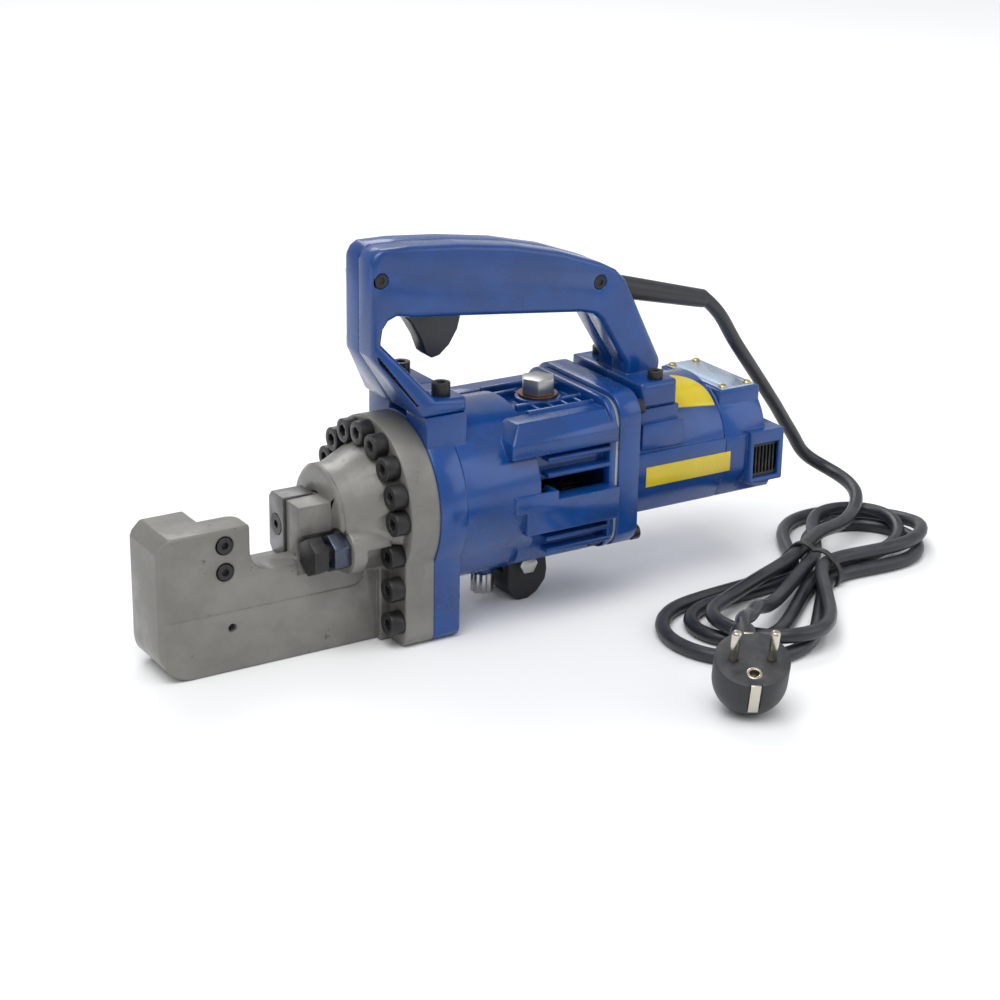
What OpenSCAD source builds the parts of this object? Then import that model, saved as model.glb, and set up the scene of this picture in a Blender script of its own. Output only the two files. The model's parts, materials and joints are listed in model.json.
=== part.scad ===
// Portable electric-hydraulic rebar cutter.
// X runs along the tool, from the shear head (-X) to the motor (+X).
// Y runs across it, and the cord's plug lies on the -Y side. Z is up.
// The origin is on the ground, under the middle of the tool's length.

/* [Shear head] */
// Length of the dome and neck between the cutter and the flange
neck_length = 31; // [27:1:45]
// Width of the head
head_width = 37.4; // [34:0.2:46]
// Height of the jaws above the ground
head_height = 78; // [74:1:90]
// Height of the mouth's floor
mouth_floor = 52; // [44:1:56]
// Length of the fixed jaw, from the nose to the mouth
jaw_length = 51; // [46:1:60]
// Clear gap between the jaws at rest
mouth_gap = 28; // [24:1:30]
// How far the moving cutter travels past the fixed one
cutter_overtravel = 3; // [1:0.5:5]
// Height of the two shear cutters
cutter_height = 34; // [28:1:36]
// Length of the moving cutter
cutter_length = 18; // [14:1:24]
// Width of each shear cutter
cutter_width = 16.5; // [12:0.5:17]
// Thickness of the grey flange
flange_t = 17; // [14:0.5:22]

/* [Hydraulics] */
// Height of the piston's axis
piston_z = 64.5; // [62:0.5:68]
// Radius of the piston rod
rod_r = 16.5; // [15:0.25:17.5]
// Radius of the cylinder bore
bore_r = 25; // [23:0.5:25.5]
// Length of the piston's head
piston_head = 12; // [10:1:14]
// Wire radius of the return spring
spring_wire = 1.5; // [1:0.1:2]

/* [Pump case] */
// Height of the axis of the flange and the pump case
case_z = 71.5; // [70:0.5:74]
// Radius of the round part of the flange
flange_r = 46; // [45:0.5:50]
// Half width of the flange's skirt
skirt_half = 39.5; // [38:0.5:42]
// Length of the round barrel, from the flange's joint face
barrel_length = 62; // [60:1:66]
// Radius of the round barrel
barrel_r = 46.5; // [46:0.5:49]
// Length of the pump case, from the flange's joint face
case_length = 111.5; // [111.5:0.5:120]
// Half width of the finned box
box_half = 43; // [42:0.5:46]

/* [Motor] */
// Thickness of the bearing plate between pump and motor
plate_t = 14; // [13:0.5:18]
// Radius of the motor housing
motor_r = 37; // [36.5:0.5:40]
// Height of the motor's axis
motor_z = 75; // [74.5:0.5:76]
// Length of the motor housing
motor_length = 63; // [60:1:70]
// Length of the rear cover
cover_length = 38.5; // [36:0.5:44]
// Teeth of the motor's pinion
pinion_teeth = 10; // [9:1:12]
// Teeth of the driven gear
gear_teeth = 35; // [33:1:36]
// Module of the gears
gear_module = 1; // [0.9:0.05:1.05]

/* [Handle] */
// Height of the handle's highest point
handle_top = 210; // [200:1:252]
// Depth of the grip at its front
grip_depth = 37.5; // [32:0.5:45]
// Half width of the handle
handle_half = 15; // [13:0.5:18]
// Wall of the handle's two shells
handle_wall = 3; // [2.5:0.25:4]
// Half width of the handle's feet
foot_half = 31.5; // [30:0.5:34]

/* [Fasteners and cord] */
// Radius of the big cap screws' shanks
screw_r = 4; // [3:0.5:4]
// Radius of the big cap screws' heads
screw_head_r = 6.5; // [6:0.25:6.5]
// Running clearance of everything that turns or slides, on the radius
fit = 0.05; // [0.02:0.01:0.08]
// Diameter of the mains lead
cord_d = 8; // [6:0.5:9]

/* [Hidden] */
$fn = 64;

grey = [0.52, 0.52, 0.49];
blue = [0.10, 0.20, 0.52];
steel = [0.70, 0.71, 0.72];
dark = [0.12, 0.12, 0.13];
brass = [0.80, 0.65, 0.30];
copper = [0.72, 0.42, 0.22];
rubber = [0.08, 0.08, 0.09];

// Stations along X, from the joint between the grey flange and the blue case
dome_x = -flange_t - neck_length;
cutter_x = dome_x - 2 - cutter_length;
jaw_x = cutter_x - mouth_gap;
nose_x = jaw_x - jaw_length;
head_length = -flange_t - nose_x;
stroke = mouth_gap + cutter_overtravel;
plate_x = case_length + 2;
housing_x = plate_x + plate_t;
cover_x = housing_x + motor_length;
rear_x = cover_x + cover_length;
mid_x = (nose_x + rear_x) / 2;

// Heights and widths that follow
head_half = head_width / 2;
shear_gap = 0.3;
cutter_low = piston_z - cutter_height / 2;
far_floor = cutter_low - 1.5;
step_z = 33;
step_depth = 0.6;
dome_r = 28;
dome_z = 68;
shoulder_x = -flange_t - 17;
bush_r = rod_r + 2;
// The rod's near half is cut flat as far back as the bush reaches at full stroke
flat_end = shoulder_x + stroke + 1;
head_x = shoulder_x + stroke + 16;
cylinder_end = head_x + piston_head + 3;

// Stopper bolt, screwed into the boss on the near side
stop_y = -23;
stop_z = 56;
stop_r = 5;
stop_across = 18;
stop_head = 8;
stop_thread = 8;
boss_x = dome_x + 3;
boss_length = neck_length - 9;
boss_r = 12.5;

// Screws that hold the front block to the pump case
screw_circle = flange_r - screw_head_r - 1;
column_y = skirt_half - screw_head_r;
screw_length = flange_t + 11;
screw_head = 8;
column_z = [51.5, 32.5, 13.5];
case_flange = 16;

// Pump and gear train, placed from the case's rear end
gear_w = 9;
gear_x = case_length - gear_w - 5.5;
eccentric_x = gear_x - 21;
block_end = eccentric_x - 8;
plug_x = eccentric_x + 12;
box_low = 29;
box_top = 110.5;
cavity_z = (box_low + box_top) / 2;
cavity_r = 37;
gear_distance = gear_module * (pinion_teeth + gear_teeth) / 2;
eccentric_z = motor_z - gear_distance;
throw = 2.5;
race_r = 11;
race_bore = 6.5;
shaft_r = 5;
plunger_r = 5;
plunger_low = eccentric_z + throw + race_r + fit;
block_x = cylinder_end + 2;
plunger_top = plunger_low + 16;
bore_top = plunger_top + 8;
seat_z = bore_top + 3;
ball_r = 3;
seat_r = 2;
ball_z = seat_z + sqrt(ball_r * ball_r - seat_r * seat_r);
block_top = seat_z + 11;
// Bolt that carries the support foot, and the release valve ahead of it
foot_x = barrel_length + 12;
foot_z = 22;
valve_x = foot_x - 20;
backlash = 0.12;

// Motor
core_r = 19;
stator_r = motor_r - 5;
cover_bore = motor_r - 10;
armature_r = 4;
core_x = housing_x + 19;
core_length = 30;

brush_x = core_x + core_length + 15;
plate_low = motor_z + motor_r - 5;
cover_screws = [[motor_r - 3.2, motor_z + 4], [motor_r - 6, motor_z - 15]];
cover_screw_places = [for (s = [-1, 1], p = cover_screws) [s * p.x, p.y]];
name_holes = [[cover_x + 6, -24], [cover_x + 6, 24], [cover_x + 23, -24], [cover_x + 23, 24]];

// Handle: its front stands on the pump case's flange, its rear on the motor housing
grip_x = -23;
foot_low = case_z + flange_r + 5.5;
foot_top = foot_low + 8;
front_foot = [-3, 24];
rear_foot = [housing_x + 5.5, housing_x + 29.5];
rear_foot_low = motor_z + motor_r - 5;
rear_foot_top = rear_foot_low + 14.5;
rear_half = 35;
front_screw = [14, 21];
rear_screw = [rear_foot[0] + 14, 27];
grip_low = handle_top - grip_depth;
trigger_pivot = [8, handle_top - 24];
shell_screws = [[grip_x + 5.5, handle_top - 16], [rear_foot[0] - 16, handle_top - 33.5]];
relief_at = [rear_foot[0] + 6, 0, handle_top - 42];
relief_fall = 14;
relief_length = 61;

// Free cord: routes chosen by hand, in the tool's own frame, heights from the ground
lead_route = [
    [157, 0, 154], [166, 1, 147], [174, 2, 138], [181, 4, 128], [188, 5, 119],
    [196, 7, 110], [203, 9, 102], [211, 11, 93], [218, 12, 84], [226, 14, 75],
    [233, 16, 66], [240, 17, 57], [247, 18, 48], [254, 19, 39], [261, 19, 30],
    [268, 16, 22], [271, 8, 17], [271, 0, 14], [270, -8, 13]
];
plug_route = [
    [104, -130, 14], [99, -134, 19], [92, -139, 24], [85, -144, 28], [79, -149, 31],
    [74, -154, 32], [69, -161, 30]
];

// Tied bundle: two round lobes that meet at the tie
tie_at = [189, -71];
right_lobe = [253, -42];
left_lobe = [101, -128];
waist_r = 17;
right_r = 44;
left_r = 40;
bundle_top = 27;
tie_w = 9;

// Right-angle plug: it lies on its round back with its face tipped to the near side
plug_at = [53, -189];
plug_turn = -30;
plug_tip = 22;
plug_r = 19;
plug_face = 13;
pin_r = 2.4;
pin_length = 19;
pin_spacing = 19;

// ---------------------------------------------------------------- helpers

module seat() translate([-mid_x, 0, 0]) children();

// A round bar along X from a to b
module bar_x(a, b, r, y = 0, z = 0, sides = 64)
    translate([a, y, z]) rotate([0, 90, 0]) cylinder(h = b - a, r = r, $fn = sides);

// A ring along X
module ring_x(a, b, outer, inner, y = 0, z = 0)
    difference() {
        bar_x(a, b, outer, y, z);
        bar_x(a - 1, b + 1, inner, y, z);
    }

// A hexagon along X
module hex_x(a, b, across, y = 0, z = 0)
    translate([a, y, z]) rotate([0, 90, 0])
        cylinder(h = b - a, r = across / 2 / cos(30), $fn = 6);

// A box between two corners
module box(low, high)
    translate(low) cube(high - low);

// A section drawn in Y and Z, run along X from a to b
module along_x(a, b)
    translate([a, 0, 0]) rotate([90, 0, 90]) linear_extrude(b - a) children();

// An outline drawn in X and Z, run along Y from a to b
module along_y(a, b)
    translate([0, b, 0]) rotate([90, 0, 0]) linear_extrude(b - a) children();

// A cap screw that points along -Z, with its head's underside at the origin
module cap_screw(r, head_r, head_h, length) {
    difference() {
        cylinder(h = head_h, r = head_r);
        translate([0, 0, head_h / 2]) cylinder(h = head_h, r = head_r * 0.52, $fn = 6);
    }
    translate([0, 0, -length]) cylinder(h = length, r = r);
}

// A closed rectangle with rounded corners
module rounded(low, high, r)
    translate(low + [r, r]) {
        size = high - low - [2 * r, 2 * r];
        square(size);
        translate([-r, 0]) square(size + [2 * r, 0]);
        translate([0, -r]) square(size + [0, 2 * r]);
        for (x = [0, size.x], y = [0, size.y]) translate([x, y]) circle(r);
    }

// Helical spring along X from a to b
module coil_x(a, b, r, wire, turns, y = 0, z = 0) {
    per_turn = 20;
    sides = 8;
    n = turns * per_turn;
    rise = (b - a - 2 * wire) / n;
    rings = [for (i = [0:n])
        let (at = i * 360 / per_turn, out = [0, cos(at), sin(at)])
        for (k = [0:sides - 1])
            [a + wire + i * rise, y, z] + r * out
                + wire * (cos(k * 360 / sides) * out + sin(k * 360 / sides) * [1, 0, 0])];
    walls = [for (i = [0:n - 1], k = [0:sides - 1])
        [i * sides + k, i * sides + (k + 1) % sides,
         (i + 1) * sides + (k + 1) % sides, (i + 1) * sides + k]];
    polyhedron(
        rings,
        concat([[for (k = [sides - 1:-1:0]) k]], walls, [[for (k = [0:sides - 1]) n * sides + k]]),
        convexity = 10
    );
}

// Involute spur gear outline
function involute(base, t) = base * [cos(t) + t * PI / 180 * sin(t), sin(t) - t * PI / 180 * cos(t)];
function turned(p, a) = [p.x * cos(a) - p.y * sin(a), p.x * sin(a) + p.y * cos(a)];
module gear_outline(teeth, add) {
    pitch_r = gear_module * teeth / 2;
    base = pitch_r * cos(20);
    tip = pitch_r + add;
    root = pitch_r - 1.25 * gear_module;
    low = max(base, root);
    t_low = sqrt(pow(low / base, 2) - 1) * 180 / PI;
    t_tip = sqrt(pow(tip / base, 2) - 1) * 180 / PI;
    t_pitch = sqrt(pow(pitch_r / base, 2) - 1) * 180 / PI;
    on_pitch = involute(base, t_pitch);
    half = 90 / teeth - backlash / pitch_r * 90 / PI;
    lean = atan2(on_pitch.y, on_pitch.x) + half;
    flank = [for (i = [0:4]) turned(involute(base, t_low + (t_tip - t_low) * i / 4), -lean)];
    circle(root, $fn = 4 * teeth);
    for (k = [0:teeth - 1]) rotate(k * 360 / teeth)
        polygon(concat(
            [[root * 0.9 * cos(lean), -root * 0.9 * sin(lean)]],
            flank,
            [for (i = [4:-1:0]) [flank[i].x, -flank[i].y]],
            [[root * 0.9 * cos(lean), root * 0.9 * sin(lean)]]
        ));
}

// Tube along a smooth curve through the given points
function spline(p, i, t) =
    let (a = p[max(i - 1, 0)], b = p[i], c = p[i + 1], d = p[min(i + 2, len(p) - 1)])
    0.5 * (2 * b + (c - a) * t + (2 * a - 5 * b + 4 * c - d) * t * t
        + (3 * b - a - 3 * c + d) * t * t * t);
function unit(v) = v / norm(v);
module sweep(route, r, sides = 10, steps = 1) {
    path = concat(
        [for (i = [0:len(route) - 2], k = [0:steps - 1]) spline(route, i, k / steps)],
        [route[len(route) - 1]]
    );
    n = len(path);
    rings = [for (i = [0:n - 1])
        let (
            along = unit(path[min(i + 1, n - 1)] - path[max(i - 1, 0)]),
            side = unit(cross([0, 0, 1], along)),
            up = cross(along, side)
        )
        for (k = [0:sides - 1])
            path[i] + r * (cos(k * 360 / sides) * side + sin(k * 360 / sides) * up)
    ];
    walls = [for (i = [0:n - 2], k = [0:sides - 1])
        [i * sides + k, (i + 1) * sides + k,
         (i + 1) * sides + (k + 1) % sides, i * sides + (k + 1) % sides]];
    polyhedron(
        rings,
        concat([[for (k = [0:sides - 1]) k]], walls, [[for (k = [sides - 1:-1:0]) (n - 1) * sides + k]]),
        convexity = 6
    );
}

// ------------------------------------------------------------ shear head

// Places of the flange screws, as [y, z]
screw_arc = [for (i = [-3:3]) [screw_circle * sin(i * 23), case_z + screw_circle * cos(i * 23)]];
screw_column = [for (s = [-1, 1], z = column_z) [s * column_y, z]];
screw_sides = [for (s = [-1, 1]) [s * screw_circle, case_z]];
screw_places = concat(screw_arc, screw_sides, screw_column);

// Outline of the joint face: round above, straight skirts below
module flange_outline(r, half) {
    translate([0, case_z]) circle(r);
    rounded([-half, 0], [half, case_z - 12], 6);
}

module head_bar() {
    corner = 18;
    difference() {
        union() {
            // Lower bar and nose
            along_y(-head_half, head_half) union() {
                translate([nose_x + corner, corner]) circle(corner);
                translate([nose_x, corner]) square([30, head_height - corner]);
                translate([nose_x + corner, 0]) square([-nose_x - corner, far_floor]);
            }
            box([jaw_x - 10, -head_half, far_floor - 1], [-1, -shear_gap, mouth_floor]);
            // Near half of the fixed jaw
            box([nose_x + 29, -head_half, far_floor - 1], [jaw_x - 6, -shear_gap, head_height]);
            translate([jaw_x - 6, -6 - shear_gap, far_floor - 1])
                cylinder(h = head_height - far_floor + 1, r = 6);
            translate([jaw_x - 6, -head_half, far_floor - 1])
                cube([6, head_half - 6 - shear_gap, head_height - far_floor + 1]);
            // Round corner between the jaw and the mouth's floor
            difference() {
                box([jaw_x - 1, -head_half, mouth_floor - 1], [jaw_x + 12, -shear_gap, mouth_floor + 12]);
                translate([jaw_x + 12, -head_half - 1, mouth_floor + 12]) rotate([-90, 0, 0])
                    cylinder(h = head_width, r = 12);
            }
        }
        // Rounded top of the nose
        for (s = [-1, 1])
            translate([nose_x - 1, s * head_half, head_height])
                rotate([45, 0, 0]) translate([0, -1.2, -1.2]) cube([jaw_length + 2, 2.4, 2.4]);
        translate([nose_x, -head_half - 1, head_height])
            rotate([0, 45, 0]) translate([-5, 0, -5]) cube([10, head_width + 2, 10]);
        for (s = [-1, 1])
            translate([nose_x, s * head_half, 0])
                rotate([0, 0, 45]) translate([-2, -2, -1]) cube([4, 4, head_height + 2]);
        // The upper side faces lie a little inside the lower ones
        for (s = [-1, 1])
            translate([0, s * head_half, 0]) along_y(-step_depth, step_depth)
                translate([nose_x - 1, step_z]) union() {
                    square([head_length - 20, head_height]);
                    translate([head_length - 20, 8]) square([8, head_height]);
                    translate([head_length - 20, 8]) circle(8);
                }
    }
}

module front_block() color(grey) seat() difference() {
    union() {
        head_bar();
        along_x(-flange_t, 0) flange_outline(flange_r, skirt_half);
        // Dome around the rod bore
        bar_x(dome_x + 2, -1, dome_r, 0, dome_z);
        translate([dome_x, 0, dome_z]) rotate([0, 90, 0])
            cylinder(h = 2.01, r1 = dome_r - 2, r2 = dome_r);
        translate([dome_x + 9, 0, dome_z]) rotate([0, 90, 0])
            cylinder(h = -flange_t - dome_x - 8.9, r1 = dome_r, r2 = screw_circle - 1);
        // Guide arm beside the cutter, on the near side
        box([cutter_x + 1.5, -head_half + 4, mouth_floor - 2],
            [dome_x + 8, -shear_gap, cutter_low + cutter_height - 1]);
        // Boss that holds the stopper bolt
        bar_x(boss_x, boss_x + boss_length, boss_r, stop_y, stop_z);
        box([boss_x, stop_y, stop_z - boss_r], [boss_x + boss_length, 0, stop_z + boss_r + 2]);
        // Webs to the flange
        box([-flange_t - 6, -head_half - 4, 0], [-flange_t, head_half + 4, mouth_floor]);
    }
    // Rod opening, bush bore and cylinder bore
    along_x(dome_x - 1, dome_x + 3.3) rod_section(0.5);
    bar_x(dome_x + 3.2, 1, bush_r, 0, piston_z);
    bar_x(shoulder_x, 1, bore_r, 0, piston_z);
    // Far half of the mouth, where the cutter slides
    box([nose_x + 30, -shear_gap, far_floor], [dome_x, head_half + 20, head_height + 60]);
    // Pocket of the fixed cutter, open to the shear plane and the mouth
    box([jaw_x - 22, -10 - shear_gap, cutter_low + 2], [jaw_x + 1, 1, cutter_low + 27]);
    for (z = [cutter_low + 7.6, cutter_low + 22]) {
        translate([jaw_x - 14, -head_half - 1, z]) rotate([-90, 0, 0]) cylinder(h = 20, r = 2.55);
        translate([jaw_x - 14, -head_half - 1, z]) rotate([-90, 0, 0]) cylinder(h = 5.6, r = 5);
    }
    // Stopper bolt: threaded hole and room for the head
    bar_x(boss_x - 1, boss_x + stop_thread + 2.5, stop_r + fit, stop_y, stop_z);
    bar_x(cutter_x - 1, boss_x, 12, stop_y, stop_z);
    // Small cross hole in the lower bar
    translate([nose_x + 40, -head_half - 1, 24]) rotate([-90, 0, 0]) cylinder(h = 12, r = 2.25);
    // Holes of the flange screws
    for (p = screw_places) {
        bar_x(-flange_t - 1, 1, screw_r, p.x, p.y);
        bar_x(-flange_t - 20, -flange_t, screw_head_r + 0.6, p.x, p.y);
    }
}

module fixed_cutter() color(steel) seat() difference() {
    box([jaw_x - 22, -10 - shear_gap, cutter_low + 2], [jaw_x, -shear_gap, cutter_low + 27]);
    for (z = [cutter_low + 7.6, cutter_low + 22])
        translate([jaw_x - 14, -11, z]) rotate([-90, 0, 0]) cylinder(h = 8, r = 2.5);
}

module fixed_cutter_screws() color(dark) seat()
    for (z = [cutter_low + 7.6, cutter_low + 22])
        translate([jaw_x - 14, -head_half + 4.6, z]) rotate([90, 0, 0])
            cap_screw(2.5, 4.25, 4.4, head_half - 4.6 - 3.2);

module moving_cutter() color(steel) seat() difference() {
    intersection() {
        box([cutter_x, shear_gap, cutter_low],
            [cutter_x + cutter_length, shear_gap + cutter_width, cutter_low + cutter_height]);
        translate([cutter_x - 1, -2, piston_z]) rotate([0, 90, 0])
            cylinder(h = cutter_length + 2, r = cutter_width + 6.5);
    }
    bar_x(cutter_x - 1, cutter_x + cutter_length + 1, 3, 8.5, piston_z);
    translate([cutter_x - 0.01, 8.5, piston_z]) rotate([0, 90, 0]) cylinder(h = 3.5, r1 = 6, r2 = 3);
}

module moving_cutter_screw() color(dark) seat() {
    difference() {
        translate([cutter_x, 8.5, piston_z]) rotate([0, 90, 0]) cylinder(h = 3.4, r1 = 5.8, r2 = 3);
        hex_x(cutter_x - 1, cutter_x + 2, 4, 8.5, piston_z);
    }
    bar_x(cutter_x + 3.4, cutter_x + cutter_length + 14, 3, 8.5, piston_z);
}

// Section of the rod: its near half is cut away, clear of the guide arm
module rod_section(gap)
    intersection() {
        translate([0, piston_z]) circle(rod_r + gap);
        translate([shear_gap - gap, piston_z - 40]) square([80, 80]);
    }

module piston() color([0.78, 0.79, 0.80]) seat() difference() {
    union() {
        along_x(cutter_x + cutter_length, flat_end) rod_section(0);
        bar_x(flat_end - 0.01, head_x + 1, rod_r, 0, piston_z);
        bar_x(head_x, head_x + piston_head, bore_r - fit, 0, piston_z);
    }
    ring_x(head_x + 4, head_x + 8, bore_r + 1, bore_r - 2.5, 0, piston_z);
    bar_x(cutter_x, cutter_x + cutter_length + 16, 3, 8.5, piston_z);
    bar_x(flat_end + 3, head_x + piston_head + 1, 9, 0, piston_z);
}

module piston_seal() color(rubber) seat()
    ring_x(head_x + 4, head_x + 8, bore_r - fit / 2, bore_r - 2.5, 0, piston_z);

module rod_bush() color(brass) seat() difference() {
    bar_x(dome_x + 6.2, shoulder_x, bush_r, 0, piston_z);
    along_x(dome_x + 6, shoulder_x + 1) rod_section(fit);
}

module rod_wiper() color(rubber) seat() difference() {
    bar_x(dome_x + 3.3, dome_x + 6, bush_r, 0, piston_z);
    along_x(dome_x + 3, dome_x + 7) rod_section(fit);
}

module return_spring() color(steel) seat()
    coil_x(shoulder_x + 0.1, head_x - 0.1, (rod_r + bore_r) / 2, spring_wire, 5, 0, piston_z);

module stopper_bolt() color(dark) seat() {
    hex_x(boss_x - 21, boss_x - 21 + stop_head, stop_across, stop_y, stop_z);
    bar_x(boss_x - 21 + stop_head, boss_x + stop_thread, stop_r, stop_y, stop_z);
}

module stopper_locknut() color([0.30, 0.31, 0.38]) seat() difference() {
    hex_x(boss_x - 9.5, boss_x - 0.3, stop_across, stop_y, stop_z);
    bar_x(boss_x - 11, boss_x + 1, stop_r + fit, stop_y, stop_z);
}

module flange_gasket() color(dark) seat()
    ring_x(0, 2, bore_r + 4, bore_r + 2, 0, piston_z);

module flange_screws() color(dark) seat()
    for (p = screw_places)
        translate([-flange_t, p.x, p.y]) rotate([0, -90, 0])
            cap_screw(screw_r, screw_head_r, screw_head, screw_length);

// -------------------------------------------------------------- pump case

case_screw_places = [for (y = [-1, 1], z = [37, 110]) [y * (box_half - 7.5), z]];

module side_fins(s) {
    // Raised bars and thin fins on one side of the finned box
    for (z = [92, 83, 65, 47, 40])
        box([68, min(s * 30, s * box_half), z - 1.4], [case_length - 2, max(s * 30, s * box_half), z + 1.4]);
    box([52, min(s * 30, s * (box_half + 5)), 53], [case_length, max(s * 30, s * (box_half + 5)), 71]);
    box([45, min(s * 30, s * (box_half + 5)), 66], [72, max(s * 30, s * (box_half + 5)), 76]);
}

module upper_bar(s)
    // Longitudinal bar on the upper corner, with a raked front end
    intersection() {
        box([44, min(s * 24, s * (box_half + 2)), 96], [case_length, max(s * 24, s * (box_half + 2)), 113]);
        along_y(-60, 60) polygon([[44, 96], [case_length, 96], [case_length, 113], [52, 113], [44, 104]]);
        along_x(0, 200) polygon([
            [s * 20, 96], [s * (box_half + 2), 96], [s * (box_half + 2), 104],
            [s * (box_half - 6), 113], [s * 20, 113]
        ]);
    }

module pump_case() color(blue) seat() difference() {
    union() {
        along_x(0, case_flange) flange_outline(flange_r + 1, skirt_half);
        bar_x(case_flange - 0.01, barrel_length, barrel_r, 0, case_z);
        bar_x(case_flange - 0.01, barrel_length - 2, 40, 0, 60.5);
        // Finned box
        along_x(barrel_length - 8, case_length) rounded([-36, box_low], [36, box_top], 13);
        for (s = [-1, 1]) {
            side_fins(s);
            upper_bar(s);
            // Pads of the handle's front foot
            box([0, min(s * 9, s * foot_half), 95], [front_foot[1], max(s * 9, s * foot_half), foot_low]);
        }
        // Ribs beside the filler
        for (y = [-24, -12, 12, 24])
            box([barrel_length + 4, y - 1.5, box_top - 2], [case_length - 2, y + 1.5, box_top + 4]);
        for (x = [-13:9:14]) box([plug_x + x, -24, box_top - 2], [plug_x + x + 2, -13, box_top + 3]);
        translate([plug_x, 0, box_top - 2]) cylinder(h = 5, r = 13);
        // End flange for the bearing plate
        along_x(case_length - 4, case_length) rounded([-box_half, 31], [box_half, 118], 14);
        // Lug that carries the support foot
        box([foot_x - 9, -7, 16], [foot_x + 9, 7, box_low + 3]);
        // Boss of the release valve
        translate([valve_x, 0, 17]) cylinder(h = 20, r = 7);
    }
    // Cylinder bore, and the cavity of the pump and gears
    bar_x(-1, cylinder_end, bore_r, 0, piston_z);
    ring_x(-1, 2.1, bore_r + 4, bore_r + 2, 0, piston_z);
    bar_x(block_x, case_length + 1, cavity_r, 0, cavity_z);
    bar_x(cylinder_end - 1, block_x + 1, 8, 0, piston_z);
    // Open tops of the side trays
    for (s = [-1, 1])
        box([48, min(s * 34, s * (box_half + 2.5)), 71], [69, max(s * 34, s * (box_half + 2.5)), 77]);
    // Filler hole and the washer's seat
    translate([plug_x, 0, box_top + 3]) cylinder(h = 5, r = 14);
    translate([plug_x, 0, 90]) cylinder(h = 40, r = 7);
    // Stem of the release valve
    translate([valve_x, 0, 0]) cylinder(h = 50, r = 3 + fit);
    // Threads of the flange screws, the foot screws and the plate screws
    for (p = screw_places) bar_x(-1, screw_length - flange_t + 0.5, screw_r, p.x, p.y);
    for (s = [-1, 1])
        translate([front_screw.x, s * front_screw.y, foot_low - 14]) cylinder(h = 30, r = 3);
    for (p = case_screw_places) bar_x(case_length - 14, case_length + 1, 2.5, p.x, p.y);
    // Cross bolt of the support foot
    translate([foot_x, -20, foot_z]) rotate([-90, 0, 0]) cylinder(h = 40, r = 3);
}

module oil_plug() color(steel) seat() translate([plug_x, 0, 0]) {
    translate([0, 0, box_top + 4.5]) cylinder(h = 9, r = 17 / 2 / cos(30), $fn = 6);
    translate([0, 0, box_top - 5]) cylinder(h = 10, r = 7 - fit);
}

module oil_plug_washer() color(copper) seat() translate([plug_x, 0, box_top + 3]) difference() {
    cylinder(h = 1.5, r = 11);
    translate([0, 0, -1]) cylinder(h = 4, r = 7);
}

module pump_block() color([0.55, 0.56, 0.58]) seat() difference() {
    union() {
        bar_x(block_x, block_end, cavity_r - 0.1, 0, cavity_z);
        intersection() {
            box([block_end - 1, -13, eccentric_z + throw + race_r + 2], [eccentric_x + 7, 13, block_top]);
            bar_x(block_x, eccentric_x + 8, cavity_r - 0.1, 0, cavity_z);
        }
    }
    // Seat of the front shaft bearing
    bar_x(block_end - 8, block_end + 1, 9.5, 0, eccentric_z);
    bar_x(block_end - 14, block_end, 7, 0, eccentric_z);
    // Plunger bore, valve seat and ball chamber
    translate([eccentric_x, 0, plunger_low]) cylinder(h = bore_top - plunger_low, r = plunger_r + fit);
    translate([eccentric_x, 0, bore_top - 1]) cylinder(h = 6, r = seat_r);
    translate([eccentric_x, 0, seat_z]) cylinder(h = 20, r = ball_r + 0.4);
    // Seat of the release valve's stem
    translate([valve_x, 0, 0]) cylinder(h = 44, r = 3 + fit);
}

module pump_plunger() color(steel) seat()
    translate([eccentric_x, 0, plunger_low]) cylinder(h = plunger_top - plunger_low, r = plunger_r);

module plunger_spring() color(steel) seat()
    translate([eccentric_x, 0, plunger_top]) rotate([0, -90, 0])
        coil_x(0.1, bore_top - plunger_top - 0.1, 3.6, 0.6, 4);

module check_ball() color([0.85, 0.86, 0.88]) seat()
    translate([eccentric_x, 0, ball_z]) sphere(ball_r);

module valve_plug() color(dark) seat() difference() {
    translate([eccentric_x, 0, ball_z + ball_r + 0.1])
        cylinder(h = block_top - ball_z - ball_r - 0.6, r = ball_r + 0.4);
    translate([eccentric_x, 0, block_top - 3]) cylinder(h = 6, r = 1.7, $fn = 6);
}

module release_valve() color(dark) seat() translate([valve_x, 0, 0]) {
    difference() {
        translate([0, 0, 5]) cylinder(h = 11.5, r = 6.5);
        for (i = [0:7]) rotate(i * 45) translate([7.6, 0, 4]) cylinder(h = 14, r = 1.9);
    }
    translate([0, 0, 16]) cylinder(h = 26, r = 3);
    translate([0, 0, 42]) cylinder(h = 1.6, r1 = 3, r2 = 1.2);
}

module eccentric_shaft() color(steel) seat() {
    bar_x(block_end - 9, eccentric_x - 5, shaft_r, 0, eccentric_z);
    bar_x(eccentric_x - 5, eccentric_x + 5, race_bore, 0, eccentric_z + throw);
    bar_x(eccentric_x + 5, plate_x + 9, shaft_r, 0, eccentric_z);
}

module eccentric_bearing() color(steel) seat()
    ring_x(eccentric_x - 4.5, eccentric_x + 4.5, race_r, race_bore, 0, eccentric_z + throw);

module driven_gear() color([0.45, 0.46, 0.48]) seat() difference() {
    along_x(gear_x, gear_x + gear_w) translate([0, eccentric_z])
        rotate(90) gear_outline(gear_teeth, 0.7 * gear_module);
    bar_x(gear_x - 1, gear_x + gear_w + 1, shaft_r, 0, eccentric_z);
}

module shaft_bearings() color(steel) seat() {
    ring_x(block_end - 8, block_end - 2, 9.5, shaft_r + fit, 0, eccentric_z);
    ring_x(plate_x + 1, plate_x + 7, 9.5, shaft_r + fit, 0, eccentric_z);
}

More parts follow.
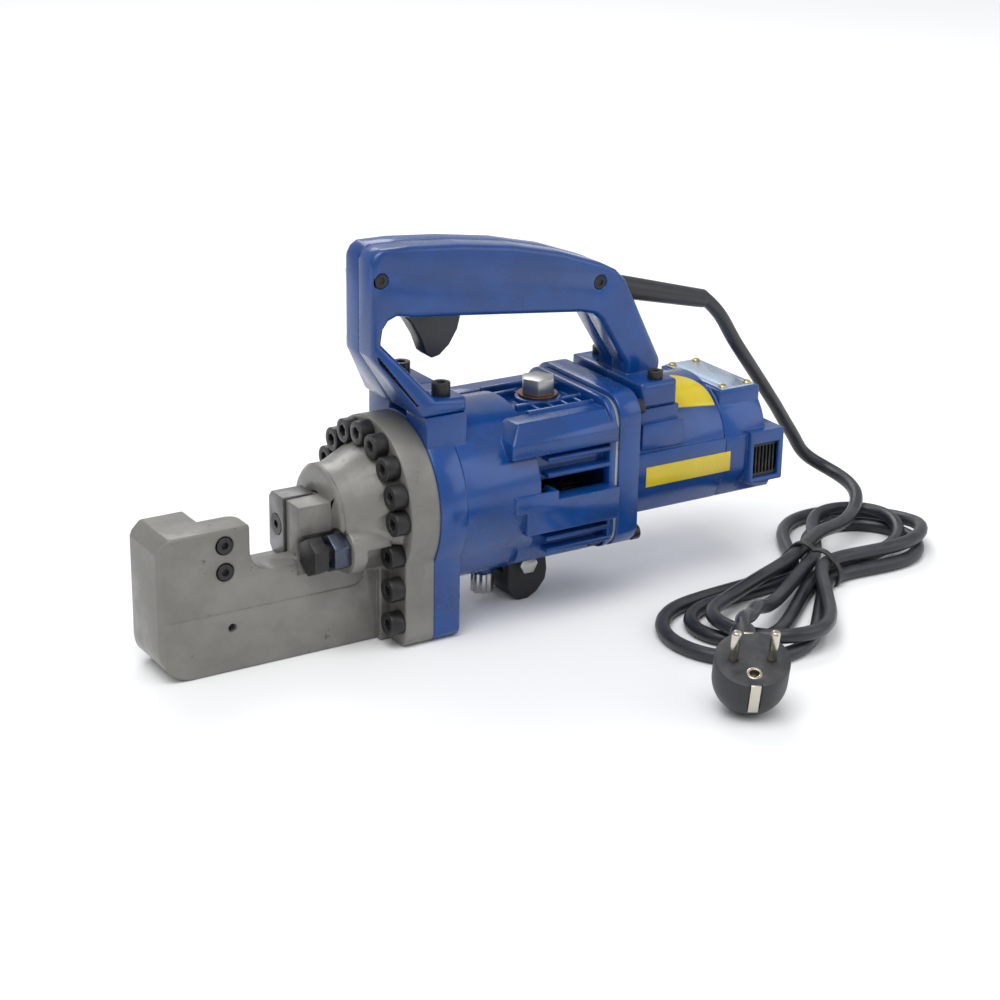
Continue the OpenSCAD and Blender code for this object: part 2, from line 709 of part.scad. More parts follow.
module case_gasket() color([0.75, 0.76, 0.74]) seat() difference() {
    along_x(case_length, plate_x) rounded([-box_half + 1, 32], [box_half - 1, 117], 13);
    bar_x(case_length - 1, plate_x + 1, cavity_r - 1, 0, cavity_z);
    for (p = case_screw_places) bar_x(case_length - 1, plate_x + 1, 2.5, p.x, p.y);
}

// ------------------------------------------------------------------ motor

module bearing_plate() color(blue) seat() difference() {
    along_x(plate_x, housing_x) rounded([-box_half, 31], [box_half, 120], 14);
    bar_x(plate_x - 1, plate_x + 7, 9.5, 0, eccentric_z);
    bar_x(plate_x + 2, plate_x + 10, 11, 0, motor_z);
    bar_x(plate_x - 1, housing_x + 1, 6.5, 0, motor_z);
    bar_x(plate_x - 1, plate_x + 10, 7, 0, eccentric_z);
    for (p = case_screw_places) bar_x(plate_x - 1, housing_x + 1, 2.5, p.x, p.y);
}

module motor_section() {
    translate([0, motor_z]) circle(motor_r);
    polygon([
        [-motor_r - 1, motor_z - 13], [-motor_r - 1, motor_z + 7.5],
        [motor_r + 1, motor_z + 7.5], [motor_r + 1, motor_z - 13],
        [motor_r - 8, motor_z - 30], [8 - motor_r, motor_z - 30]
    ]);
}

module motor_housing() color(blue) seat() difference() {
    union() {
        along_x(housing_x, cover_x) motor_section();
        // Pads under the handle's rear foot
        for (s = [-1, 1]) {
            box([rear_foot[0], min(s * 14, s * (rear_half - 1)), 84],
                [rear_foot[1] + 2, max(s * 14, s * (rear_half - 1)), rear_foot_low]);
            box([rear_foot[0], min(s * 14, s * (rear_half + 2)), 84],
                [rear_foot[1] + 4, max(s * 14, s * (rear_half + 2)), 99]);
        }
    }
    bar_x(housing_x - 1, cover_x + 1, stator_r, 0, motor_z);
    bar_x(housing_x - 1, housing_x + 12, stator_r + 1, 0, motor_z);
    for (s = [-1, 1])
        translate([rear_screw.x, s * rear_screw.y, rear_foot_low - 12]) cylinder(h = 30, r = 2.5);
    for (p = cover_screw_places) bar_x(cover_x - 11, cover_x + 1, 1.8, p.x, p.y);
}

module armature_shaft() color(steel) seat() {
    bar_x(gear_x - 1, gear_x + gear_w + 1, 2.5, 0, motor_z);
    bar_x(gear_x + gear_w + 1, cover_x + 18, armature_r, 0, motor_z);
}

module motor_pinion() color([0.45, 0.46, 0.48]) seat() difference() {
    along_x(gear_x, gear_x + gear_w) translate([0, motor_z])
        rotate(-90 + 180 / pinion_teeth) gear_outline(pinion_teeth, 0.9 * gear_module);
    bar_x(gear_x - 1, gear_x + gear_w + 1, 2.5, 0, motor_z);
}

module armature_core() color([0.42, 0.40, 0.38]) seat() difference() {
    bar_x(core_x, core_x + core_length, core_r, 0, motor_z);
    for (i = [0:11])
        translate([core_x - 1, 0, motor_z]) rotate([i * 30, 0, 0])
            translate([0, core_r - 4, -1]) cube([core_length + 2, 6, 2]);
    bar_x(core_x - 1, core_x + core_length + 1, armature_r, 0, motor_z);
}

module commutator() color(copper) seat() difference() {
    bar_x(core_x + core_length + 9, core_x + core_length + 21, 11, 0, motor_z);
    for (i = [0:23])
        translate([core_x + core_length + 8, 0, motor_z]) rotate([i * 15, 0, 0])
            translate([0, 10, -0.25]) cube([14, 2, 0.5]);
    bar_x(core_x + core_length + 8, core_x + core_length + 22, armature_r, 0, motor_z);
}

module cooling_fan() color(dark) seat() difference() {
    union() {
        bar_x(housing_x + 3, housing_x + 5, stator_r - 4, 0, motor_z);
        bar_x(housing_x + 3, housing_x + 13, 9, 0, motor_z);
        for (i = [0:11])
            translate([housing_x + 4.9, 0, motor_z]) rotate([i * 30, 0, 0])
                translate([0, 8, -0.8]) cube([8, stator_r - 12, 1.6]);
    }
    bar_x(housing_x + 2, housing_x + 14, armature_r, 0, motor_z);
}

module armature_bearings() color(steel) seat() {
    ring_x(plate_x + 3, plate_x + 10, 11, armature_r + fit, 0, motor_z);
    ring_x(cover_x + 10, cover_x + 16, 9.5, armature_r + fit, 0, motor_z);
}

module stator_core() color([0.42, 0.40, 0.38]) seat() difference() {
    bar_x(core_x, core_x + core_length, stator_r, 0, motor_z);
    bar_x(core_x - 1, core_x + core_length + 1, core_r + 0.8, 0, motor_z);
    for (s = [-1, 1])
        box([core_x - 1, min(s * 18, s * (stator_r - 5)), motor_z - 12],
            [core_x + core_length + 1, max(s * 18, s * (stator_r - 5)), motor_z + 12]);
}

module field_coils() color(copper) seat()
    for (x = [core_x - 6, core_x + core_length])
        difference() {
            bar_x(x, x + 6, stator_r - 4, 0, motor_z);
            bar_x(x - 1, x + 7, core_r + 1.5, 0, motor_z);
            for (s = [-1, 1]) box([x - 1, s * 40 - 36, motor_z - 5], [x + 7, s * 40 + 36, motor_z + 5]);
        }

module brush_holders() color(brass) seat()
    for (s = [-1, 1])
        difference() {
            box([brush_x - 5, min(s * 13, s * (cover_bore + 2)), motor_z - 6],
                [brush_x + 5, max(s * 13, s * (cover_bore + 2)), motor_z + 6]);
            box([brush_x - 3.1, min(s * 12, s * cover_bore), motor_z - 4.1],
                [brush_x + 3.1, max(s * 12, s * cover_bore), motor_z + 4.1]);
        }

module carbon_brushes() color(dark) seat()
    for (s = [-1, 1])
        box([brush_x - 3, min(s * 11.3, s * 26), motor_z - 4],
            [brush_x + 3, max(s * 11.3, s * 26), motor_z + 4]);

module rear_cover() color(blue) seat() difference() {
    union() {
        difference() {
            union() {
                along_x(cover_x, cover_x + 29) motor_section();
                along_x(cover_x + 28, rear_x) difference() {
                    motor_section();
                    translate([-60, 84]) square([120, 60]);
                }
                // Raised block under the nameplate
                box([cover_x + 1, -28.5, 80], [cover_x + 29, 28.5, plate_low]);
                // Corner housings of the two air intakes
                for (s = [-1, 1])
                    box([cover_x + 15, min(s * 20, s * (motor_r + 4)), 53],
                        [rear_x, max(s * 20, s * (motor_r + 4)), 84]);
            }
            box([cover_x - 1, -60, plate_low], [rear_x, 60, plate_low + 30]);
            bar_x(cover_x - 1, cover_x + 28, cover_bore, 0, motor_z);
            intersection() {
                bar_x(cover_x + 27, rear_x - 4, cover_bore, 0, motor_z);
                box([cover_x, -40, 0], [rear_x, 40, 80]);
            }
            for (s = [-1, 1])
                box([cover_x + 18, min(s * 24, s * (motor_r + 13)), 56],
                    [rear_x - 3, max(s * 24, s * (motor_r + 13)), 76]);
        }
        // Spider that carries the rear bearing
        bar_x(cover_x + 9, cover_x + 17, 13, 0, motor_z);
        for (a = [45, 135])
            translate([cover_x + 9, 0, motor_z]) rotate([a, 0, 0]) translate([0, -cover_bore - 1, -3])
                cube([8, 2 * cover_bore + 2, 6]);
    }
    bar_x(cover_x + 8, cover_x + 16, 9.5, 0, motor_z);
    bar_x(cover_x + 8, cover_x + 30, 6, 0, motor_z);
    // Seats of the brush holders
    for (s = [-1, 1])
        box([cover_x - 1, min(s * 20, s * (cover_bore + 2)), motor_z - 6],
            [brush_x + 5, max(s * 20, s * (cover_bore + 2)), motor_z + 6]);
    // Cover screws, reached from the rear
    for (p = cover_screw_places) {
        bar_x(cover_x - 1, cover_x + 12, 1.8, p.x, p.y);
        bar_x(cover_x + 4, rear_x + 1, 3.4, p.x, p.y);
    }
    for (p = name_holes) translate([p.x, p.y, plate_low - 4.5]) cylinder(h = 6, r = 1.25);
}

module intake_grilles() color(dark) seat()
    for (s = [-1, 1])
        difference() {
            box([cover_x + 18, min(s * (motor_r - 0.5), s * (motor_r + 2)), 56],
                [rear_x - 3, max(s * (motor_r - 0.5), s * (motor_r + 2)), 76]);
            for (x = [cover_x + 19.2:2.45:rear_x - 4])
                box([x, s * (motor_r + 1) - 3, 58], [x + 1.4, s * (motor_r + 1) + 3, 74]);
        }

module motor_screws() color(dark) seat() {
    // Four through the bearing plate, four through the rear cover
    for (p = case_screw_places)
        translate([housing_x, p.x, p.y]) rotate([0, 90, 0])
            cap_screw(2.5, 4.25, 5, plate_t + 14);
    for (p = cover_screw_places)
        translate([cover_x + 4, p.x, p.y]) rotate([0, 90, 0]) cap_screw(1.8, 3.2, 3.5, 14);
}

module nameplate() color([0.80, 0.82, 0.84]) seat() difference() {
    box([cover_x + 3, -27, plate_low], [cover_x + 26, 27, plate_low + 1]);
    for (p = name_holes) translate([p.x, p.y, plate_low - 1]) cylinder(h = 4, r = 1.25);
}

module nameplate_screws() color(brass) seat()
    for (p = name_holes) translate([p.x, p.y, 0]) {
        translate([0, 0, plate_low - 4]) cylinder(h = 5, r = 1.2);
        translate([0, 0, plate_low + 1]) cylinder(h = 1.2, r1 = 2.6, r2 = 1.8);
    }

module warning_labels() color([0.95, 0.80, 0.05]) seat() {
    // Side label
    box([housing_x + 8, -motor_r - 1.5, 63], [cover_x + 3, -motor_r - 1, 74.5]);
    // Sector label on the round of the housing
    intersection() {
        ring_x(housing_x, cover_x, motor_r + 0.5, motor_r, 0, motor_z);
        translate([housing_x + 34, -26, motor_z]) linear_extrude(60)
            polygon(concat([[0, 0]], [for (a = [-4:4:60]) 27 * [cos(a), sin(a)]]));
    }
}

// ----------------------------------------------------------------- handle

module handle_outline() {
    front = grip_x;
    rear = rear_foot[0];
    polygon([
        [front, foot_top + 25], [front, handle_top - 6], [front + 2, handle_top - 2.5],
        [front + 6, handle_top], [front + 23, handle_top], [front + 53, handle_top - 2.5],
        [rear - 71, handle_top - 7], [rear - 41, handle_top - 14], [rear - 15, handle_top - 23],
        [rear - 5, handle_top - 28], [rear + 1, handle_top - 34], [rear + 7, handle_top - 45],
        [rear_foot[1] + 2, rear_foot_top + 6.5], [rear_foot[1], rear_foot_top - 2],
        [rear + 3, rear_foot_top - 2], [rear + 3, rear_foot_top + 6.5],
        [rear - 14, grip_low - 17.5], [rear - 19, grip_low - 13.5], [rear - 27, grip_low - 11.5],
        [rear - 73, grip_low - 6.5], [front + 23, grip_low], [front + 15, grip_low + 1.5],
        [front + 10, grip_low - 0.5], [front + 7, grip_low - 4.5], [front + 6, grip_low - 10.5],
        [front + 6, foot_top + 25]
    ]);
}

// Hollow inside of the grip: room for the trigger and the switch
module grip_room() {
    front = grip_x + 9;
    rear = rear_foot[0];
    polygon([
        [front, grip_low + 7.5], [front, handle_top - 8], [front + 44, handle_top - 8],
        [rear - 71, handle_top - 12], [rear - 41, handle_top - 19], [rear - 15, handle_top - 29],
        [rear - 7, handle_top - 40], [rear - 15, grip_low - 9.5], [rear - 73, grip_low - 1.5],
        [front + 14, grip_low + 4.5]
    ]);
}

module handle_shell(s) difference() {
    union() {
        along_y(min(0, s * handle_half), max(0, s * handle_half)) handle_outline();
        // Raked web from the front leg down to the front foot
        hull() {
            box([grip_x, min(0, s * handle_half), foot_top + 23],
                [grip_x + 6, max(0, s * handle_half), foot_top + 29]);
            box([front_foot[0], min(0, s * foot_half), foot_low],
                [front_foot[0] + 10, max(0, s * foot_half), foot_top]);
        }
        box([front_foot[0], min(0, s * foot_half), foot_low],
            [front_foot[1], max(0, s * foot_half), foot_top]);
        box([rear_foot[0], min(0, s * rear_half), rear_foot_low],
            [rear_foot[1], max(0, s * rear_half), rear_foot_top]);
    }
    along_y(-handle_half + handle_wall, handle_half - handle_wall) grip_room();
    // Slot that the trigger hangs through
    box([-9, -7, grip_low - 12.5], [41, 7, grip_low + 9.5]);
    // Round of the motor housing under the rear foot
    bar_x(rear_foot[0] - 1, rear_foot[1] + 1, motor_r + 0.2, 0, motor_z);
    // Screws
    translate([front_screw.x, s * front_screw.y, foot_low - 1]) cylinder(h = 20, r = 3);
    translate([rear_screw.x, s * rear_screw.y, rear_foot_low - 1]) cylinder(h = 30, r = 2.5);
    for (p = shell_screws) {
        translate([p.x, -40, p.y]) rotate([-90, 0, 0]) cylinder(h = 80, r = 2);
        translate([p.x, s > 0 ? handle_half - 2.5 : -handle_half - 1, p.y]) rotate([-90, 0, 0])
            cylinder(h = 3.5, r = 4);
    }
    // Seat of the strain relief
    translate(relief_at) rotate([0, 90 + relief_fall, 0]) translate([0, 0, -8]) cylinder(h = 30, r = 6.5);
    // Trigger pin
    translate([trigger_pivot.x, s > 0 ? -1 : -handle_half + 1, trigger_pivot.y]) rotate([-90, 0, 0])
        cylinder(h = handle_half, r = 2 + fit);
}

module handle_near() color(blue) seat() handle_shell(-1);
module handle_far() color(blue) seat() handle_shell(1);

module handle_screws() color(dark) seat() {
    for (p = shell_screws) translate([p.x, -handle_half + 2.5, p.y]) rotate([90, 0, 0])
        cap_screw(2, 3.8, 2, 2 * handle_half - 5);
    for (s = [-1, 1]) {
        translate([front_screw.x, s * front_screw.y, foot_top]) cap_screw(3, 5, 7, 18);
        translate([rear_screw.x, s * rear_screw.y, rear_foot_top]) cap_screw(2.5, 4.25, 4.5, 22);
    }
}

module trigger() color(dark) seat() translate([trigger_pivot.x, 0, trigger_pivot.y]) {
    along_y(-6, 6) polygon([
        [-6, 4], [6, 4], [26, -6], [27, -18], [25, -26], [20, -34], [14, -39],
        [9.5, -40], [6, -37], [2.5, -28], [-3, -19], [-9, -13], [-10, -4]
    ]);
    translate([0, -11, 0]) rotate([-90, 0, 0]) cylinder(h = 22, r = 2);
}

module trigger_switch() color([0.15, 0.15, 0.16]) seat() translate([trigger_pivot.x, 0, trigger_pivot.y]) {
    box([34, -9, -11], [76, 9, 5]);
    box([30, -3, -5], [34, 3, 1]);
}

module support_foot() color(rubber) seat() difference() {
    union() {
        // Cheeks on both sides of the lug, joined by the tread below it
        for (s = [-1, 1])
            along_y(min(s * 7, s * 13), max(s * 7, s * 13)) polygon([
                [foot_x - 11, 15.5], [foot_x - 11, 24], [foot_x - 8, 28],
                [foot_x + 8, 28], [foot_x + 13, 24], [foot_x + 14, 15.5]
            ]);
        along_y(-13, 13) polygon([
            [foot_x - 11, 15.8], [foot_x + 14, 15.8], [foot_x + 13, 9], [foot_x + 8, 3],
            [foot_x + 2, 0], [foot_x - 4, 0], [foot_x - 8, 3], [foot_x - 11, 9]
        ]);
    }
    translate([foot_x, -20, foot_z]) rotate([-90, 0, 0]) cylinder(h = 40, r = 3);
}

module foot_bolt() color(steel) seat() translate([foot_x, 0, foot_z]) rotate([90, 0, 0]) {
    translate([0, 0, 13]) cylinder(h = 4, r = 5 / cos(30), $fn = 6);
    translate([0, 0, -16]) cylinder(h = 29, r = 3);
    translate([0, 0, -18]) cylinder(h = 5, r = 5 / cos(30), $fn = 6);
}

// ------------------------------------------------------------------- cord

module strain_relief() color(rubber) seat()
    translate(relief_at) rotate([0, 90 + relief_fall, 0]) {
        translate([0, 0, -6]) cylinder(h = 12, r = 6.4);
        translate([0, 0, 5.9]) cylinder(h = relief_length - 6, r1 = 6.4, r2 = cord_d / 2 + 1.2);
    }

module mains_lead() color(rubber) sweep(lead_route, cord_d / 2, 10);

module plug_lead() color(rubber) sweep(plug_route, cord_d / 2, 10);

module lobe(centre, r) {
    hull() {
        translate(tie_at) circle(waist_r, $fn = 32);
        translate(centre) circle(r, $fn = 32);
    }
}

module cord_bundle() color(rubber) linear_extrude(bundle_top) {
    lobe(right_lobe, right_r);
    lobe(left_lobe, left_r);
}

module cord_tie() color(dark) difference() {
    translate([tie_at.x, tie_at.y, 0]) rotate(atan2(57, 152))
        translate([-tie_w / 2, -waist_r - 3.5, 0]) cube([tie_w, 2 * waist_r + 7, bundle_top + 1.5]);
    linear_extrude(bundle_top) {
        lobe(right_lobe, right_r);
        lobe(left_lobe, left_r);
    }
}

module plug_seat() translate([plug_at.x, plug_at.y, plug_r]) rotate(plug_turn) rotate([plug_tip, 0, 0])
    children();

module plug_body() color(rubber) plug_seat() difference() {
    union() {
        sphere(plug_r);
        cylinder(h = plug_face, r = plug_r);
        // Grip and boot towards the lead
        translate([0, 0, -2]) rotate([-90, 0, 0]) cylinder(h = 34, r1 = 9, r2 = 6.5);
    }
    // Flat face, grooves of the earth clips, and the earth hole
    translate([0, 0, plug_face]) cylinder(h = 20, r = plug_r + 1);
    for (s = [-1, 1]) box([-3, s * plug_r - 1.6, -6], [3, s * plug_r + 1.6, plug_face + 1]);
    translate([0, -9.5, plug_face - 9]) cylinder(h = 12, r = 4);
    for (s = [-1, 1]) translate([s * pin_spacing / 2, 0, plug_face - 8]) cylinder(h = 10, r = pin_r - 0.4);
}

module plug_contacts() color(steel) plug_seat() {
    // Each pin has a thinner root inside the body and a rounded end
    for (s = [-1, 1]) translate([s * pin_spacing / 2, 0, plug_face]) {
        translate([0, 0, -8]) cylinder(h = 8.1, r = pin_r - 0.4);
        translate([0, 0, 0.1]) cylinder(h = pin_length - 1.1, r = pin_r);
        translate([0, 0, pin_length - 1]) cylinder(h = 1, r1 = pin_r, r2 = pin_r - 1);
    }
    for (s = [-1, 1])
        box([-2.6, min(s * 17.4, s * 18.6), -5.9],
            [2.6, max(s * 17.4, s * 18.6), plug_face - 0.2]);
    translate([0, -9.5, plug_face - 9]) difference() {
        cylinder(h = 9, r = 4);
        translate([0, 0, 1]) cylinder(h = 9, r = 2.5);
    }
}

front_block();
fixed_cutter();
fixed_cutter_screws();
moving_cutter();
moving_cutter_screw();
piston();
piston_seal();
rod_bush();
rod_wiper();
return_spring();
stopper_bolt();
stopper_locknut();
flange_gasket();
flange_screws();
pump_case();
oil_plug();
oil_plug_washer();
pump_block();
pump_plunger();
plunger_spring();
check_ball();
valve_plug();
release_valve();
eccentric_shaft();
eccentric_bearing();
driven_gear();
shaft_bearings();
case_gasket();
bearing_plate();
armature_shaft();
motor_pinion();
armature_core();
commutator();
cooling_fan();
armature_bearings();
motor_housing();
stator_core();
field_coils();
brush_holders();
carbon_brushes();
rear_cover();
intake_grilles();
motor_screws();
nameplate();
nameplate_screws();
warning_labels();
handle_near();
handle_far();
handle_screws();
trigger();
trigger_switch();
support_foot();
foot_bolt();
strain_relief();
mains_lead();
cord_bundle();
cord_tie();
plug_lead();
plug_body();
plug_contacts();
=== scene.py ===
import json
import logging
import math
from dataclasses import dataclass
from enum import Enum
from typing import Any

import bmesh
import bpy
import numpy as np
from mathutils import Matrix, Vector

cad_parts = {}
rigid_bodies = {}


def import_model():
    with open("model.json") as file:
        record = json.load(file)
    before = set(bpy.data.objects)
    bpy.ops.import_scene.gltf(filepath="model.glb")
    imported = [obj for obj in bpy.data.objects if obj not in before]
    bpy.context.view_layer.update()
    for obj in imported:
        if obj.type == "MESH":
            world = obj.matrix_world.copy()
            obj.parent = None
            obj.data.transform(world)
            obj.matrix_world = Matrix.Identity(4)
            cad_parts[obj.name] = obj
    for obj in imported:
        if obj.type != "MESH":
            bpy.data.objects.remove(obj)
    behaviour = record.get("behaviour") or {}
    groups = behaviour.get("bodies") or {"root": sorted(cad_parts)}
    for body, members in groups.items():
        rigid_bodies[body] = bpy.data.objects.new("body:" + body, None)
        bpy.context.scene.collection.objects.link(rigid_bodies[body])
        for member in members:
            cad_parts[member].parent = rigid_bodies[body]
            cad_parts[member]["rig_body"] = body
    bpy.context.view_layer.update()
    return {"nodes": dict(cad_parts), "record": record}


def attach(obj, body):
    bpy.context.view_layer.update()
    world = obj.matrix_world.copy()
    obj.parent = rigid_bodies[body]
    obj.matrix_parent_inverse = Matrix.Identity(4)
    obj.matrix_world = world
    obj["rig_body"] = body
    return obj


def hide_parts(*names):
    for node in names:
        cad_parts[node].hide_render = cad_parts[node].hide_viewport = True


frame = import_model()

MM = 0.001
Tone = tuple[float, float, float]
LOG = logging.getLogger("rebar_cutter")


class Mask(Enum):
    """The uneven patterns that a finish can show."""

    NONE = "none"
    CHIPS = "chips"
    GRIND = "grind"


class Wiring:
    """Adds shader nodes to one node tree and joins them."""

    def __init__(self, tree: bpy.types.NodeTree) -> None:
        """Keeps the tree that the nodes go in.

        Args:
            tree: The material's or the group's node tree.
        """
        self.tree = tree

    def add(self, kind: str, inputs: dict[Any, Any] | None = None, **settings: Any) -> bpy.types.Node:
        """Adds one node.

        Args:
            kind: The node's type name.
            inputs: For each input, by name or number, a value or the socket that feeds it.
            settings: Other settings of the node.

        Returns:
            The new node.
        """
        node = self.tree.nodes.new(kind)
        for name, value in settings.items():
            setattr(node, name, value)
        for key, value in (inputs or {}).items():
            if isinstance(value, bpy.types.NodeSocket):
                self.tree.links.new(value, node.inputs[key])
            else:
                node.inputs[key].default_value = value
        return node

    def maths(self, operation: str, first: Any, second: Any = 0.0) -> bpy.types.NodeSocket:
        """Adds a Math node and returns what it puts out.

        Args:
            operation: The sum to do.
            first: The first value or socket.
            second: The second value or socket.

        Returns:
            The result's socket.
        """
        return self.add("ShaderNodeMath", {0: first, 1: second}, operation=operation).outputs[0]

    def spread(self, value: Any, low: float, high: float, to_low: float = 0.0, to_high: float = 1.0) -> Any:
        """Maps a range of a value smoothly onto another.

        Args:
            value: The socket to map.
            low: Where the range starts.
            high: Where the range ends.
            to_low: What the start becomes.
            to_high: What the end becomes.

        Returns:
            The mapped value's socket.
        """
        ends = {"Value": value, "From Min": low, "From Max": high, "To Min": to_low, "To Max": to_high}
        return self.add("ShaderNodeMapRange", ends, interpolation_type="SMOOTHSTEP").outputs["Result"]

    def blend(self, factor: Any, first: Any, second: Any) -> bpy.types.NodeSocket:
        """Mixes two colours.

        Args:
            factor: How much of the second shows.
            first: The first colour or socket.
            second: The second colour or socket.

        Returns:
            The mixed colour's socket.
        """
        node = self.add("ShaderNodeMix", data_type="RGBA")
        for key, value in ((0, factor), (6, first), (7, second)):
            if isinstance(value, bpy.types.NodeSocket):
                self.tree.links.new(value, node.inputs[key])
            else:
                node.inputs[key].default_value = value if key == 0 else (*value[:3], 1.0)
        return node.outputs[2]

    def place(self) -> bpy.types.NodeSocket:
        """Returns the place on the object, in metres."""
        return self.add("ShaderNodeTexCoord").outputs["Object"]

    def noise(self, scale: Any, detail: float = 4.0, rough: float = 0.55, stretch: Tone = (1, 1, 1)) -> Any:
        """Adds a noise pattern on Object coordinates.

        Args:
            scale: Repeats per metre.
            detail: Number of finer layers.
            rough: How strong the finer layers are.
            stretch: Scale along each axis.

        Returns:
            The pattern's value socket.
        """
        at = self.add("ShaderNodeMapping", {"Vector": self.place(), "Scale": stretch}).outputs[0]
        inputs = {"Vector": at, "Scale": scale, "Detail": detail, "Roughness": rough}
        return self.add("ShaderNodeTexNoise", inputs).outputs["Fac"]


class Effects:
    """Shader node groups that the finishes share."""

    def __init__(self) -> None:
        """Builds each group once."""
        self.edges = self.group("Rounded edges", {"Radius": 0.0006, "Edge wear and highlight": 0.5}, ("Mask",), ("Normal",))
        self.make_edges()
        self.skin = self.group("Surface grain", {"Scale": 600.0}, ("Height",), ())
        self.make_skin()
        self.patches = self.group("Uneven patches", {"Scale": 30.0}, ("Mask",), ())
        self.make_patches()
        self.dust = self.group("Settled dust", {"Amount": 0.2}, ("Mask",), ())
        self.make_dust()
        self.chips = self.group("Paint chips", {"Scale": 90.0, "Cover": 0.5}, ("Mask",), ())
        self.make_chips()
        self.grind = self.group("Grinding lines", {"Scale": 400.0}, ("Height",), ())
        self.make_grind()

    def group(
        self, name: str, inputs: dict[str, float], values: tuple[str, ...], normals: tuple[str, ...]
    ) -> bpy.types.NodeTree:
        """Makes an empty node group with its sockets.

        Args:
            name: The group's name.
            inputs: Its number inputs and their usual values.
            values: Its number outputs.
            normals: Its direction outputs.

        Returns:
            The new node tree.
        """
        tree = bpy.data.node_groups.new(name, "ShaderNodeTree")
        for label, usual in inputs.items():
            socket = tree.interface.new_socket(label, in_out="INPUT", socket_type="NodeSocketFloat")
            socket.default_value = usual
        for label in values:
            tree.interface.new_socket(label, in_out="OUTPUT", socket_type="NodeSocketFloat")
        for label in normals:
            tree.interface.new_socket(label, in_out="OUTPUT", socket_type="NodeSocketVector")
        return tree

    def make_edges(self) -> None:
        """Rounds the shading at edges and marks the edges, where most finishes rub thin to bare metal and the
        blue enamel gets a painted highlight.
        """
        wiring = Wiring(self.edges)
        given = wiring.add("NodeGroupInput")
        soft = wiring.add("ShaderNodeBevel", {"Radius": given.outputs["Radius"]}, samples=6)
        wide_radius = wiring.maths("MULTIPLY", given.outputs["Radius"], 2.2)
        wide = wiring.add("ShaderNodeBevel", {"Radius": wide_radius}, samples=4)
        true = wiring.add("ShaderNodeNewGeometry").outputs["Normal"]
        dot = wiring.add("ShaderNodeVectorMath", {0: wide.outputs[0], 1: true}, operation="DOT_PRODUCT")
        turned = wiring.spread(dot.outputs["Value"], 0.99, 0.80)
        broken = wiring.spread(wiring.noise(160.0, 5.0, 0.65), 0.42, 0.66)
        # Edge mask: real wear on most finishes, a painted highlight on the blue enamel.
        rubbed_and_lit_edges = wiring.maths("MULTIPLY", wiring.maths("MULTIPLY", turned, broken), given.outputs["Edge wear and highlight"])
        out = wiring.add("NodeGroupOutput")
        self.edges.links.new(rubbed_and_lit_edges, out.inputs["Mask"])
        self.edges.links.new(soft.outputs[0], out.inputs["Normal"])

    def make_skin(self) -> None:
        """A fine cast or sprayed surface: small grains on a slow wave."""
        wiring = Wiring(self.skin)
        given = wiring.add("NodeGroupInput")
        fine = wiring.noise(given.outputs["Scale"], 5.0, 0.6)
        slow = wiring.noise(wiring.maths("MULTIPLY", given.outputs["Scale"], 0.14), 3.0, 0.5)
        fine = wiring.maths("MULTIPLY", fine, 0.45)
        height = wiring.maths("ADD", fine, wiring.maths("MULTIPLY", slow, 0.75))
        self.skin.links.new(height, wiring.add("NodeGroupOutput").inputs["Height"])

    def make_patches(self) -> None:
        """Large soft patches where a finish is a little darker or more matt."""
        wiring = Wiring(self.patches)
        given = wiring.add("NodeGroupInput")
        mask = wiring.spread(wiring.noise(given.outputs["Scale"], 6.0, 0.62), 0.32, 0.70)
        self.patches.links.new(mask, wiring.add("NodeGroupOutput").inputs["Mask"])

    def make_dust(self) -> None:
        """Dust on what faces up."""
        wiring = Wiring(self.dust)
        given = wiring.add("NodeGroupInput")
        normal = wiring.add("ShaderNodeNewGeometry").outputs["Normal"]
        turned = wiring.add("ShaderNodeSeparateXYZ", {0: normal})
        up = wiring.spread(turned.outputs["Z"], 0.35, 1.0)
        cloud = wiring.spread(wiring.noise(55.0, 7.0, 0.7), 0.35, 0.75)
        mask = wiring.maths("MULTIPLY", wiring.maths("MULTIPLY", up, cloud), given.outputs["Amount"])
        self.dust.links.new(mask, wiring.add("NodeGroupOutput").inputs["Mask"])

    def make_chips(self) -> None:
        """Hard-edged spots where paint has come off."""
        wiring = Wiring(self.chips)
        given = wiring.add("NodeGroupInput")
        blotch = wiring.noise(given.outputs["Scale"], 8.0, 0.68)
        start = wiring.maths("SUBTRACT", 0.82, wiring.maths("MULTIPLY", given.outputs["Cover"], 0.42))
        over = wiring.maths("SUBTRACT", blotch, start)
        mask = wiring.spread(over, 0.0, 0.03)
        self.chips.links.new(mask, wiring.add("NodeGroupOutput").inputs["Mask"])

    def make_grind(self) -> None:
        """Fine parallel lines left by grinding or turning."""
        wiring = Wiring(self.grind)
        given = wiring.add("NodeGroupInput")
        lines = wiring.noise(given.outputs["Scale"], 3.0, 0.6, (1.0, 1.0, 14.0))
        self.grind.links.new(lines, wiring.add("NodeGroupOutput").inputs["Height"])


